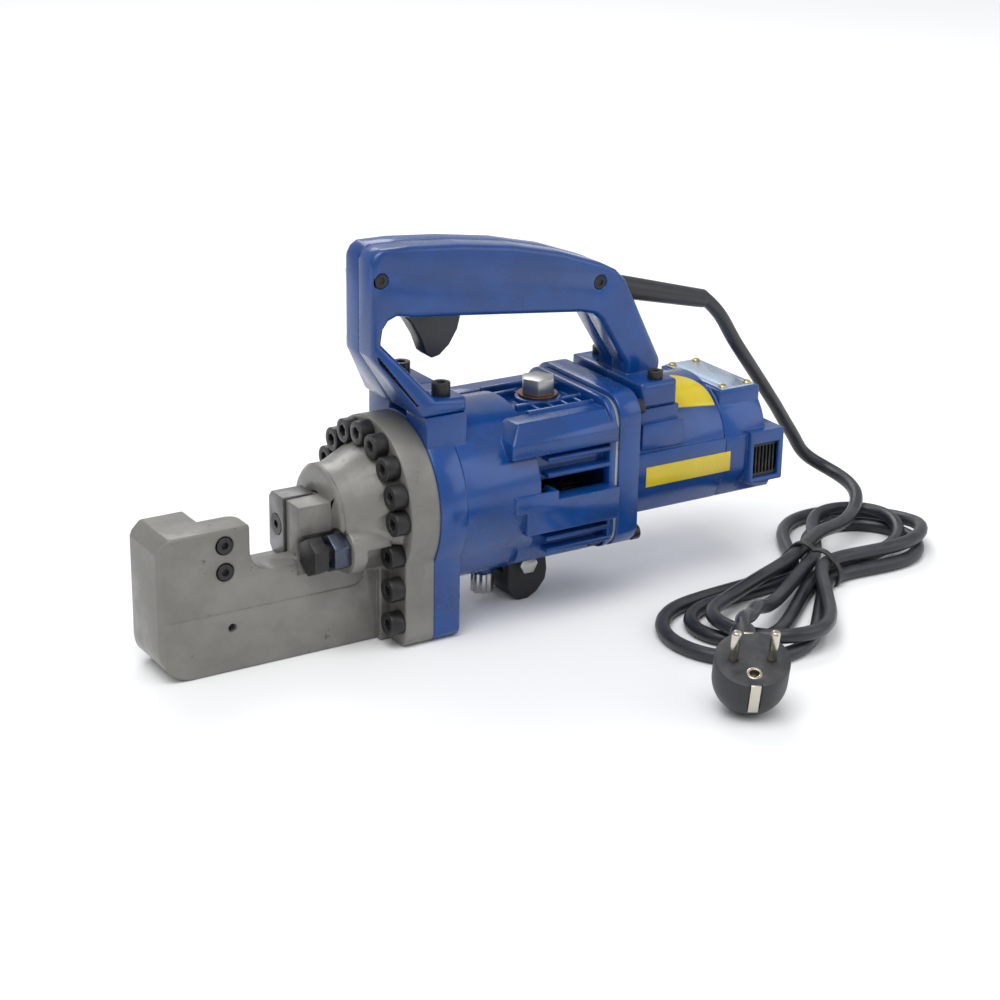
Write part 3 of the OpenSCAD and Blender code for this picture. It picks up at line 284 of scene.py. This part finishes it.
@dataclass(frozen=True)
class Finish:
    """One paint, metal, rubber or plastic of the tool.

    Colours are linear. Lengths are in metres and scales are repeats per metre.
    """

    slot: str
    base: Tone
    patch: Tone
    rough: tuple[float, float]
    metallic: float = 0.0
    coat: float = 0.0
    grain: float = 700.0
    depth: float = 0.00004
    edge: float = 0.0006
    # Edge mask strength and edge tone: worn bare metal on most finishes, a painted highlight on the blue
    # enamel.
    edge_wear_and_highlight: float = 0.25
    bare_and_edge_highlight: Tone = (0.36, 0.36, 0.36)
    dust: float = 0.1
    mask: Mask = Mask.NONE
    cover: float = 0.3

    def build(self, effects: Effects) -> bpy.types.Material:
        """Makes the material.

        Args:
            effects: The shared node groups.

        Returns:
            The finished material.
        """
        material = bpy.data.materials.new(self.slot)
        material.use_nodes = True
        material.node_tree.nodes.clear()
        wiring = Wiring(material.node_tree)
        edges = wiring.add("ShaderNodeGroup", node_tree=effects.edges)
        edges.inputs["Radius"].default_value = self.edge
        edges.inputs["Edge wear and highlight"].default_value = self.edge_wear_and_highlight
        patches = wiring.add("ShaderNodeGroup", node_tree=effects.patches).outputs["Mask"]
        colour = wiring.blend(patches, self.base, self.patch)
        # Edge tone: worn bare metal on most finishes; on the blue enamel a lighter blue, a painted highlight
        # along the edges.
        colour = wiring.blend(edges.outputs["Mask"], colour, self.bare_and_edge_highlight)
        if self.mask is Mask.CHIPS:
            chips = wiring.add("ShaderNodeGroup", node_tree=effects.chips)
            chips.inputs["Cover"].default_value = self.cover
            colour = wiring.blend(chips.outputs["Mask"], colour, self.bare_and_edge_highlight)
        dust = wiring.add("ShaderNodeGroup", node_tree=effects.dust)
        dust.inputs["Amount"].default_value = self.dust
        colour = wiring.blend(dust.outputs["Mask"], colour, (0.34, 0.32, 0.29))
        rough = wiring.spread(patches, 0.0, 1.0, *self.rough)
        rough = wiring.maths("ADD", rough, wiring.maths("MULTIPLY", dust.outputs["Mask"], 0.3))
        if self.mask is Mask.GRIND:
            height = wiring.add("ShaderNodeGroup", node_tree=effects.grind).outputs["Height"]
        else:
            skin = wiring.add("ShaderNodeGroup", node_tree=effects.skin)
            skin.inputs["Scale"].default_value = self.grain
            height = skin.outputs["Height"]
        bump = wiring.add(
            "ShaderNodeBump",
            {"Strength": 1.0, "Distance": self.depth, "Height": height, "Normal": edges.outputs["Normal"]},
        )
        shader = wiring.add(
            "ShaderNodeBsdfPrincipled",
            {"Base Color": colour, "Roughness": rough, "Normal": bump.outputs[0]},
        )
        shader.inputs["Metallic"].default_value = self.metallic
        shader.inputs["Coat Weight"].default_value = self.coat
        shader.inputs["Coat Roughness"].default_value = 0.12
        wiring.add("ShaderNodeOutputMaterial", {"Surface": shader.outputs[0]})
        return material


FINISHES = (
    Finish("grey_paint", (0.215, 0.21, 0.193), (0.165, 0.16, 0.145), (0.34, 0.52), 0.2, 0.15, 420.0, 0.00016,
           0.0014, 0.5, (0.10, 0.095, 0.07), 0.12, Mask.CHIPS, 0.42),
    # Blue enamel: its edge tone (0.05, 0.10, 0.28) is a lighter blue, a painted highlight along the edges,
    # not worn metal.
    Finish("blue_enamel", (0.002, 0.055, 0.25), (0.002, 0.038, 0.17), (0.2, 0.3), 0.0, 0.2, 170.0, 0.00012,
           0.0013, 0.16, (0.05, 0.10, 0.28), 0.03),
    Finish("cutter_steel", (0.20, 0.20, 0.205), (0.13, 0.125, 0.12), (0.3, 0.46), 0.8, 0.0, 300.0, 0.00005,
           0.0007, 0.7, (0.5, 0.5, 0.5), 0.1, Mask.GRIND),
    Finish("black_screw", (0.014, 0.014, 0.016), (0.028, 0.027, 0.027), (0.3, 0.5), 0.35, 0.0, 900.0, 0.00003,
           0.0005, 0.4, (0.16, 0.16, 0.17), 0.1),
    Finish("locknut_steel", (0.075, 0.09, 0.13), (0.05, 0.06, 0.085), (0.26, 0.42), 0.75, 0.0, 500.0, 0.00003,
           0.0006, 0.7, (0.42, 0.44, 0.48), 0.05),
    Finish("rod_chrome", (0.72, 0.72, 0.73), (0.6, 0.6, 0.61), (0.08, 0.2), 1.0, 0.0, 500.0, 0.00001,
           0.0005, 0.1, (0.8, 0.8, 0.8), 0.0),
    Finish("seal_rubber", (0.012, 0.012, 0.012), (0.02, 0.02, 0.02), (0.5, 0.7), edge_wear_and_highlight=0.0),
    Finish("cord_rubber", (0.013, 0.014, 0.019), (0.024, 0.026, 0.033), (0.3, 0.46), 0.0, 0.0, 900.0, 0.00005,
           0.0004, 0.0, (0.05, 0.05, 0.05), 0.12),
    Finish("plug_rubber", (0.011, 0.012, 0.016), (0.022, 0.023, 0.028), (0.36, 0.5), 0.0, 0.0, 900.0, 0.00005,
           0.0008, 0.2, (0.08, 0.08, 0.08), 0.12),
    Finish("foot_rubber", (0.012, 0.012, 0.013), (0.02, 0.02, 0.021), (0.55, 0.7), edge=0.0012, edge_wear_and_highlight=0.1),
    Finish("bronze", (0.45, 0.28, 0.11), (0.35, 0.2, 0.08), (0.3, 0.45), 1.0),
    Finish("screw_brass", (0.6, 0.46, 0.2), (0.5, 0.36, 0.14), (0.22, 0.4), 1.0, edge_wear_and_highlight=0.3,
           bare_and_edge_highlight=(0.8, 0.7, 0.4)),
    Finish("copper", (0.2, 0.1, 0.06), (0.12, 0.06, 0.04), (0.35, 0.5), 0.9),
    Finish("spring_steel", (0.3, 0.3, 0.31), (0.22, 0.22, 0.22), (0.25, 0.4), 1.0),
    Finish("bright_steel", (0.55, 0.55, 0.54), (0.42, 0.42, 0.4), (0.2, 0.38), 0.95, 0.0, 500.0, 0.00003,
           0.0007, 0.5, (0.8, 0.8, 0.8), 0.1),
    Finish("shaft_steel", (0.4, 0.4, 0.41), (0.3, 0.3, 0.3), (0.2, 0.35), 1.0),
    Finish("gear_steel", (0.28, 0.28, 0.29), (0.2, 0.2, 0.2), (0.25, 0.4), 1.0),
    Finish("pump_iron", (0.16, 0.16, 0.16), (0.11, 0.11, 0.11), (0.45, 0.6), 0.7),
    Finish("gasket_silver", (0.42, 0.43, 0.44), (0.32, 0.33, 0.34), (0.38, 0.55), 0.7),
    Finish("laminations", (0.2, 0.2, 0.21), (0.14, 0.14, 0.15), (0.4, 0.55), 0.8, mask=Mask.GRIND),
    Finish("fan_plastic", (0.02, 0.02, 0.02), (0.03, 0.03, 0.03), (0.4, 0.55)),
    Finish("carbon", (0.015, 0.015, 0.015), (0.03, 0.03, 0.03), (0.5, 0.7)),
    Finish("grille_black", (0.006, 0.006, 0.007), (0.012, 0.012, 0.012), (0.45, 0.6)),
    Finish("plate_aluminium", (0.5, 0.6, 0.74), (0.42, 0.51, 0.64), (0.22, 0.36), 0.5, 0.2, 500.0, 0.00002,
           0.0003, 0.3, (0.75, 0.8, 0.85), 0.08),
    Finish("label_yellow", (0.66, 0.52, 0.012), (0.56, 0.42, 0.01), (0.22, 0.32), 0.0, 0.3, 900.0, 0.00001,
           0.0002, 0.05, (0.5, 0.35, 0.1), 0.05),
    Finish("trigger_plastic", (0.012, 0.013, 0.02), (0.02, 0.021, 0.03), (0.28, 0.42), edge=0.0012, edge_wear_and_highlight=0.1),
    Finish("tie_black", (0.012, 0.012, 0.013), (0.02, 0.02, 0.02), (0.35, 0.5)),
    Finish("contact_nickel", (0.66, 0.63, 0.55), (0.55, 0.5, 0.4), (0.15, 0.28), 1.0, edge_wear_and_highlight=0.1),
)


@dataclass
class Studio:
    """Floor, lights and camera."""

    target: Tone = (0.02024, 0.0, 0.05539)
    distance: float = 1.24108
    azimuth: float = -32.1335
    elevation: float = 20.63
    roll: float = 0.99
    lens: float = 81.2744
    floor_half: float = 14.0
    sun_power: float = 1.35
    sun_spread: float = 55.0

    def camera(self) -> bpy.types.Object:
        """Places the camera and makes it the scene's own.

        Returns:
            The camera.
        """
        turn, lift, lean = (math.radians(x) for x in (self.azimuth, self.elevation, self.roll))
        back = Vector((math.sin(turn) * math.cos(lift), -math.cos(turn) * math.cos(lift), math.sin(lift)))
        right = Vector((math.cos(turn), math.sin(turn), 0.0))
        up = back.cross(right)
        across = right * math.cos(lean) + up * math.sin(lean)
        upright = up * math.cos(lean) - right * math.sin(lean)
        data = bpy.data.cameras.new("camera")
        data.lens = self.lens
        data.sensor_width = 36.0
        data.shift_x = 0.0056
        data.shift_y = 0.0025
        data.clip_start = 0.01
        camera = bpy.data.objects.new("camera", data)
        bpy.context.scene.collection.objects.link(camera)
        place = Vector(self.target) + back * self.distance
        turned = Matrix((across, upright, back)).transposed().to_4x4()
        camera.matrix_world = Matrix.Translation(place) @ turned
        bpy.context.scene.camera = camera
        return camera

    def light(self, name: str, place: Tone, size: float, power: float, aim: Tone = (0.03, 0.0, 0.08)) -> None:
        """Adds one soft square lamp.

        Args:
            name: The lamp's name.
            place: Where it stands.
            size: Its side.
            power: Its power in watts.
            aim: The point that it faces.
        """
        data = bpy.data.lights.new(name, "AREA")
        data.shape = "SQUARE"
        data.size = size
        data.energy = power
        lamp = bpy.data.objects.new(name, data)
        bpy.context.scene.collection.objects.link(lamp)
        lamp.location = place
        lamp.rotation_euler = (Vector(aim) - Vector(place)).to_track_quat("-Z", "Y").to_euler()

    def sun(self) -> None:
        """Adds the broad light from above that also keeps the far floor bright."""
        data = bpy.data.lights.new("sun", "SUN")
        data.energy = self.sun_power
        data.angle = math.radians(self.sun_spread)
        lamp = bpy.data.objects.new("sun", data)
        bpy.context.scene.collection.objects.link(lamp)
        lamp.rotation_euler = Vector((0.35, 0.3, -1.0)).to_track_quat("-Z", "Y").to_euler()

    def floor(self) -> None:
        """Lays the pale floor."""
        bpy.ops.mesh.primitive_plane_add(size=2 * self.floor_half, location=(0, 0, -0.0002))
        ground = bpy.context.object
        ground.name = "floor"
        material = bpy.data.materials.new("pale_floor")
        material.use_nodes = True
        wiring = Wiring(material.node_tree)
        shader = material.node_tree.nodes["Principled BSDF"]
        tone = wiring.blend(wiring.noise(3.0, 3.0), (0.86, 0.86, 0.86), (0.90, 0.90, 0.90))
        material.node_tree.links.new(tone, shader.inputs["Base Color"])
        shader.inputs["Roughness"].default_value = 0.9
        shader.inputs["Specular IOR Level"].default_value = 0.1
        ground.data.materials.append(material)

    def build(self) -> None:
        """Sets up the whole studio."""
        self.camera()
        self.floor()
        world = bpy.data.worlds.new("studio")
        bpy.context.scene.world = world
        world.use_nodes = True
        world.node_tree.nodes["Background"].inputs["Color"].default_value = (0.95, 0.97, 1.0, 1.0)
        world.node_tree.nodes["Background"].inputs["Strength"].default_value = 0.54
        self.sun()
        self.light("key", (-0.7, -0.5, 1.9), 1.0, 9.0)
        self.light("fill", (1.5, -1.3, 1.0), 1.4, 7.0)
        self.light("back", (0.4, 1.5, 1.6), 1.2, 16.0)
        bpy.context.scene.view_settings.view_transform = "Standard"


class Shop:
    """Small hand tools for shaping pieces."""

    @staticmethod
    def clear() -> None:
        """Deselects everything."""
        for thing in bpy.context.selected_objects:
            thing.select_set(False)

    @staticmethod
    def pick(thing: bpy.types.Object) -> None:
        """Makes one object the only selected and active one.

        Args:
            thing: The object.
        """
        Shop.clear()
        thing.select_set(True)
        bpy.context.view_layer.objects.active = thing

    @staticmethod
    def dress(thing: bpy.types.Object, material: bpy.types.Material) -> None:
        """Gives an object one material.

        Args:
            thing: The object.
            material: Its material.
        """
        thing.data.materials.clear()
        thing.data.materials.append(material)


@dataclass
class MainsCord:
    """The free lead from the strain relief to the plug, tied in a hank of long loops.

    Lengths are in millimetres, in the tool's own frame. A loop is its reach from the tie, its
    radius, its lean in degrees, and the layers that it lies in on its way out and back.
    """

    diameter: float = 8.0
    lead: tuple[tuple[float, float, float], ...] = (
        (157, 0, 154), (166, 1, 147), (174, 2, 138), (181, 4, 128), (188, 5, 119),
        (196, 7, 110), (203, 9, 102), (211, 11, 93), (218, 12, 84), (226, 14, 75),
        (233, 16, 66), (240, 17, 57), (247, 18, 48),
    )
    hook: tuple[tuple[float, float], ...] = (
        (254, 19), (261, 18), (267, 14), (271, 7), (273, -2),
        (271, -12), (266, -21), (257, -30), (244, -39), (226, -48),
    )
    tail: tuple[tuple[float, float], ...] = ((160, -89), (142, -101), (124, -114), (108, -126))
    plug: tuple[tuple[float, float, float], ...] = (
        (92, -139, 24), (85, -144, 28), (79, -149, 31), (74, -154, 32), (69, -161, 30),
    )
    tie: tuple[float, float] = (189.0, -71.0)
    tie_turn: float = 27.5
    right_way: float = 29.8
    left_way: float = 205.7
    slots: tuple[float, ...] = (8.3, -8.3, 12.45, -12.45, 4.15, -4.15, 0.0)
    passes: tuple[float, ...] = (1, 1, 0, 0, 0, 0, 1)
    right_loops: tuple[tuple[float, ...], ...] = ((68, 42, 0, 1, 0), (62, 34, -9, 0, 0), (69, 27, -2, 1, 1))
    left_loops: tuple[tuple[float, ...], ...] = ((84, 33, 10, 1, 1), (92, 42, 0, 0, 0), (86, 26.5, -3, 0, 0))
    step: float = 4.0
    clear: float = 9.2
    pinch: float = 8.0
    loop_points: int = 11
    shared: float = 26.0
    plan_passes: int = 14
    settle_turns: int = 1200
    settle_last: int = 100
    drop: float = 0.07
    last_passes: int = 5
    ring_points: int = 40

    def hank(self) -> list[tuple[float, float, float]]:
        """Works out the hank's plan: loops that turn left and right of the tie by turns.

        Returns:
            Points along the hank, from the lead's end to the plug's strand, each with the layer it lies in.
        """
        tie = np.array(self.tie)
        axis = np.array([math.cos(math.radians(self.tie_turn)), math.sin(math.radians(self.tie_turn))])
        across = np.array([-axis[1], axis[0]])
        points = [(x, y, 2.0) for x, y in self.hook]
        heading = -1
        for turn, slot in enumerate(self.slots):
            middle = tie + across * slot
            for along in (-self.pinch, 0.0, self.pinch):
                points.append((*(middle + axis * along * heading), self.passes[turn]))
            if turn == len(self.slots) - 1:
                break
            left = heading < 0
            loops, way = (self.left_loops, self.left_way) if left else (self.right_loops, self.right_way)
            reach, radius, lean, layer, layer_back = loops[turn // 2]
            out = math.radians(way + lean)
            centre = tie + reach * np.array([math.cos(out), math.sin(out)])
            open_angle = 90.0 + math.degrees(math.asin(radius / reach)) - 4.0
            for angle in np.linspace(-open_angle, open_angle, self.loop_points):
                at = out + math.radians(angle)
                lies = layer if angle < 0 else layer_back
                points.append((*(centre + radius * np.array([math.cos(at), math.sin(at)])), lies))
            heading = -heading
        points += [(x, y, 3.0) for x, y in self.tail]
        return points

    def smooth_line(self, points: np.ndarray) -> np.ndarray:
        """Runs a smooth line through points and cuts it into even steps.

        Args:
            points: The points, one row each.

        Returns:
            Evenly spaced points on the line.
        """
        padded = np.vstack([2 * points[0] - points[1], points, 2 * points[-1] - points[-2]])
        fine = []
        for a, b, c, d in zip(padded, padded[1:], padded[2:], padded[3:]):
            for t in np.linspace(0, 1, 24, endpoint=False):
                bend = 2 * b + (c - a) * t + (2 * a - 5 * b + 4 * c - d) * t * t
                fine.append(0.5 * (bend + (3 * b - a - 3 * c + d) * t ** 3))
        fine.append(points[-1])
        fine = np.array(fine)
        gone = np.concatenate([[0], np.cumsum(np.linalg.norm(np.diff(fine, axis=0), axis=1))])
        count = int(gone[-1] / self.step) + 1
        marks = np.linspace(0, gone[-1], count)
        return np.column_stack([np.interp(marks, gone, fine[:, k]) for k in range(fine.shape[1])])

    def route(self) -> np.ndarray:
        """Works out the whole centreline: the plan first, then how high each strand lies on those below it.

        Returns:
            The centreline's points in millimetres.
        """
        flat = [(x, y, 30.0, layer) for x, y, layer in self.hank()]
        marked = [(*p, 4.0) for p in self.lead] + flat + [(*p, 4.0) for p in self.plug]
        line = self.smooth_line(np.array(marked, float))
        plan, height, layer = line[:, :2], line[:, 2].copy(), np.round(line[:, 3])
        fixed = layer > 3.5
        for _ in range(self.plan_passes):
            plan[1:-1] = np.where(fixed[1:-1, None], plan[1:-1], (plan[:-2] + 2 * plan[1:-1] + plan[2:]) / 4)
        count = len(line)
        gap = np.linalg.norm(plan[:, None] - plan[None], axis=2)
        apart = np.abs(np.arange(count)[:, None] - np.arange(count)[None]) * self.step > self.shared
        upper, lower = np.nonzero((gap < self.clear) & apart & (layer[:, None] > layer[None]))
        lift = np.sqrt(self.clear ** 2 - gap[upper, lower] ** 2)
        rest = self.diameter / 2
        for turn in range(self.settle_turns):
            eased = height.copy()
            drop = self.drop if turn < self.settle_turns - self.settle_last else 0.0
            eased[1:-1] = (height[:-2] + 2 * height[1:-1] + height[2:]) / 4 - drop
            need = np.full(count, rest)
            np.maximum.at(need, upper, eased[lower] + lift)
            height = np.where(fixed, height, np.maximum(eased, need))
        whole = np.column_stack([plan, height])
        for _ in range(self.last_passes):
            whole[2:-2] = (whole[1:-3] + 2 * whole[2:-2] + whole[3:-1]) / 4
        return whole

    def build(self, material: bpy.types.Material, tie_material: bpy.types.Material) -> None:
        """Lays the cord and puts the tie round it.

        Args:
            material: The cord's rubber.
            tie_material: The tie's plastic.
        """
        line = self.route()
        curve = bpy.data.curves.new("mains_cord", "CURVE")
        curve.dimensions = "3D"
        curve.bevel_depth = self.diameter / 2 * MM
        curve.bevel_resolution = 5
        curve.resolution_u = 2
        curve.use_fill_caps = True
        spline = curve.splines.new("NURBS")
        spline.points.add(len(line) - 1)
        for point, place in zip(spline.points, line):
            point.co = (*(place * MM), 1.0)
        spline.order_u = 4
        spline.use_endpoint_u = True
        cord = bpy.data.objects.new("mains_cord", curve)
        bpy.context.scene.collection.objects.link(cord)
        curve.materials.append(material)
        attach(cord, "tool")
        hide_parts("mains_lead", "cord_bundle", "plug_lead")
        tie = self.tie_band(line, tie_material)

    def tie_band(self, line: np.ndarray, material: bpy.types.Material) -> bpy.types.Object:
        """Wraps a flat tie round the strands.

        Args:
            line: The cord's centreline.
            material: The tie's plastic.

        Returns:
            The tie.
        """
        axis = np.array([math.cos(math.radians(self.tie_turn)), math.sin(math.radians(self.tie_turn))])
        across = np.array([-axis[1], axis[0]])
        off = line[:, :2] - np.array(self.tie)
        near = (np.abs(off @ axis) < 2.2) & (np.abs(off @ across) < 24)
        strands = np.column_stack([off[near] @ across, line[near, 2]])
        low, high = strands.min(0), strands.max(0)
        middle = (low + high) / 2
        ring = []
        angles = np.linspace(0, 2 * math.pi, self.ring_points, endpoint=False)
        for angle in angles:
            way = np.array([math.cos(angle), math.sin(angle)])
            ring.append(((strands - middle) @ way).max() + self.diameter / 2 + 0.5)
        curve = bpy.data.curves.new("cord_tie_band", "CURVE")
        curve.dimensions = "3D"
        curve.bevel_depth = 0.9 * MM
        curve.bevel_resolution = 3
        for shift in (-1.3, 0.0, 1.3):
            spline = curve.splines.new("NURBS")
            spline.points.add(len(ring) - 1)
            for k, (angle, reach) in enumerate(zip(angles, ring)):
                side = middle[0] + reach * math.cos(angle)
                up = max(middle[1] + reach * math.sin(angle), 1.0)
                flat = np.array(self.tie) + across * side + axis * shift
                spline.points[k].co = (flat[0] * MM, flat[1] * MM, up * MM, 1.0)
            spline.use_cyclic_u = True
        tie = bpy.data.objects.new("cord_tie_band", curve)
        bpy.context.scene.collection.objects.link(tie)
        Shop.pick(tie)
        bpy.ops.object.convert(target="MESH")
        tie = bpy.context.object
        Shop.dress(tie, material)
        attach(tie, "tool")
        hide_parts("cord_tie")
        return tie


@dataclass
class Casting:
    """A CAD solid shown as a copy with its outer edges rounded."""

    node: str
    radius: float
    outer: float = 0.0
    outer_from: float = 0.0
    steps: int = 2
    sharp: float = 34.0

    def copy(self) -> bpy.types.Object:
        """Makes a merged copy of the solid with its flat faces whole.

        Returns:
            The copy.
        """
        source = frame["nodes"][self.node]
        piece = bpy.data.objects.new(f"{self.node}_shown", source.data.copy())
        bpy.context.scene.collection.objects.link(piece)
        Shop.pick(piece)
        bpy.ops.mesh.customdata_custom_splitnormals_clear()
        bpy.ops.object.mode_set(mode="EDIT")
        bpy.ops.mesh.select_all(action="SELECT")
        bpy.ops.mesh.remove_doubles(threshold=0.000004)
        bpy.ops.mesh.dissolve_limited(angle_limit=math.radians(0.5))
        bpy.ops.object.mode_set(mode="OBJECT")
        return piece

    def select_edges(self, piece: bpy.types.Object, width: float, outer_only: bool) -> int:
        """Selects the sharp outer edges that have room for a round of some width.

        Args:
            piece: The copy.
            width: The round's width in metres.
            outer_only: Only the edges far out across the tool.

        Returns:
            How many edges are selected.
        """
        mesh = bmesh.new()
        mesh.from_mesh(piece.data)
        limit = math.cos(math.radians(self.sharp))
        keen = set()
        for edge in mesh.edges:
            edge.select = False
            if len(edge.link_faces) != 2 or not edge.is_convex:
                continue
            first, second = (face.normal for face in edge.link_faces)
            out = min(abs(v.co.y) for v in edge.verts) > self.outer_from * MM
            if first.dot(second) < limit and (out or not outer_only):
                keen.add(edge)
        crowded = True
        while crowded:
            crowded = set()
            for edge in keen:
                for vert in edge.verts:
                    others = [e for e in vert.link_edges if e not in keen]
                    if any(e.calc_length() < 1.1 * width for e in others):
                        crowded.add(edge)
                if edge.calc_length() < 0.15 * width:
                    crowded.add(edge)
            keen -= crowded
        for face in mesh.faces:
            face.select = False
        for vert in mesh.verts:
            vert.select = False
        for edge in keen:
            edge.select_set(True)
        mesh.to_mesh(piece.data)
        mesh.free()
        return len(keen)

    def round_edges(
        self, piece: bpy.types.Object, width: float, steps: int, outer_only: bool = False
    ) -> None:
        """Rounds the selected edges of a copy.

        Args:
            piece: The copy.
            width: The round's width in metres.
            steps: Faces across the round.
            outer_only: Only the edges far out across the tool.
        """
        Shop.pick(piece)
        count = self.select_edges(piece, width, outer_only)
        if not count:
            return
        bpy.ops.object.mode_set(mode="EDIT")
        bpy.ops.mesh.select_mode(type="EDGE")
        bpy.ops.mesh.bevel(offset=width, segments=steps, profile=0.5, clamp_overlap=False)
        bpy.ops.object.mode_set(mode="OBJECT")
        LOG.info("%s: %d edges rounded to %.1f mm", self.node, count, width / MM)

    def build(self, finishes: dict[str, bpy.types.Material]) -> bpy.types.Object:
        """Makes the copy, rounds it and shows it in the solid's place.

        Args:
            finishes: Materials by slot name.

        Returns:
            The shown piece.
        """
        piece = self.copy()
        if self.outer:
            self.round_edges(piece, self.outer * MM, 4, True)
        self.round_edges(piece, self.radius * MM, self.steps)
        Shop.pick(piece)
        bpy.ops.object.shade_smooth_by_angle(angle=math.radians(31))
        row = next(r for r in frame["record"]["subparts"] if r["node"] == self.node)
        Shop.dress(piece, finishes[row["material_slot"]])
        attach(piece, frame["nodes"][self.node]["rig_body"])
        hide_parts(self.node)
        return piece


CASTINGS = (
    Casting("front_block", 0.45), Casting("pump_case", 0.7), Casting("bearing_plate", 0.8),
    Casting("motor_housing", 0.7), Casting("rear_cover", 0.9),
    Casting("handle_near", 0.8, 3.0, 14.5), Casting("handle_far", 0.8, 3.0, 14.5),
    Casting("trigger", 1.0), Casting("fixed_cutter", 0.4), Casting("moving_cutter", 0.6),
    Casting("oil_plug", 0.5), Casting("stopper_bolt", 0.4), Casting("stopper_locknut", 0.4),
    Casting("support_foot", 0.8), Casting("plug_body", 0.5), Casting("nameplate", 0.2),
    Casting("foot_bolt", 0.3), Casting("flange_screws", 0.35), Casting("handle_screws", 0.3),
    Casting("motor_screws", 0.3), Casting("nameplate_screws", 0.15), Casting("intake_grilles", 0.3),
    Casting("release_valve", 0.3), Casting("fixed_cutter_screws", 0.3),
    Casting("plug_contacts", 0.2), Casting("strain_relief", 0.4), Casting("warning_labels", 0.1),
)


def dress_nodes(finishes: dict[str, bpy.types.Material]) -> None:
    """Gives every CAD node the material of its slot.

    Args:
        finishes: Materials by slot name.
    """
    for row in frame["record"]["subparts"]:
        node = frame["nodes"].get(row["node"])
        if node is not None:
            Shop.dress(node, finishes[row["material_slot"]])


def main() -> None:
    """Builds the looks in order."""
    logging.basicConfig(level=logging.INFO, format="%(message)s")
    Shop.clear()
    Studio().build()
    effects = Effects()
    finishes = {finish.slot: finish.build(effects) for finish in FINISHES}
    dress_nodes(finishes)
    for casting in CASTINGS:
        casting.build(finishes)
    MainsCord().build(finishes["cord_rubber"], finishes["tie_black"])


if __name__ == "__main__":
    main()
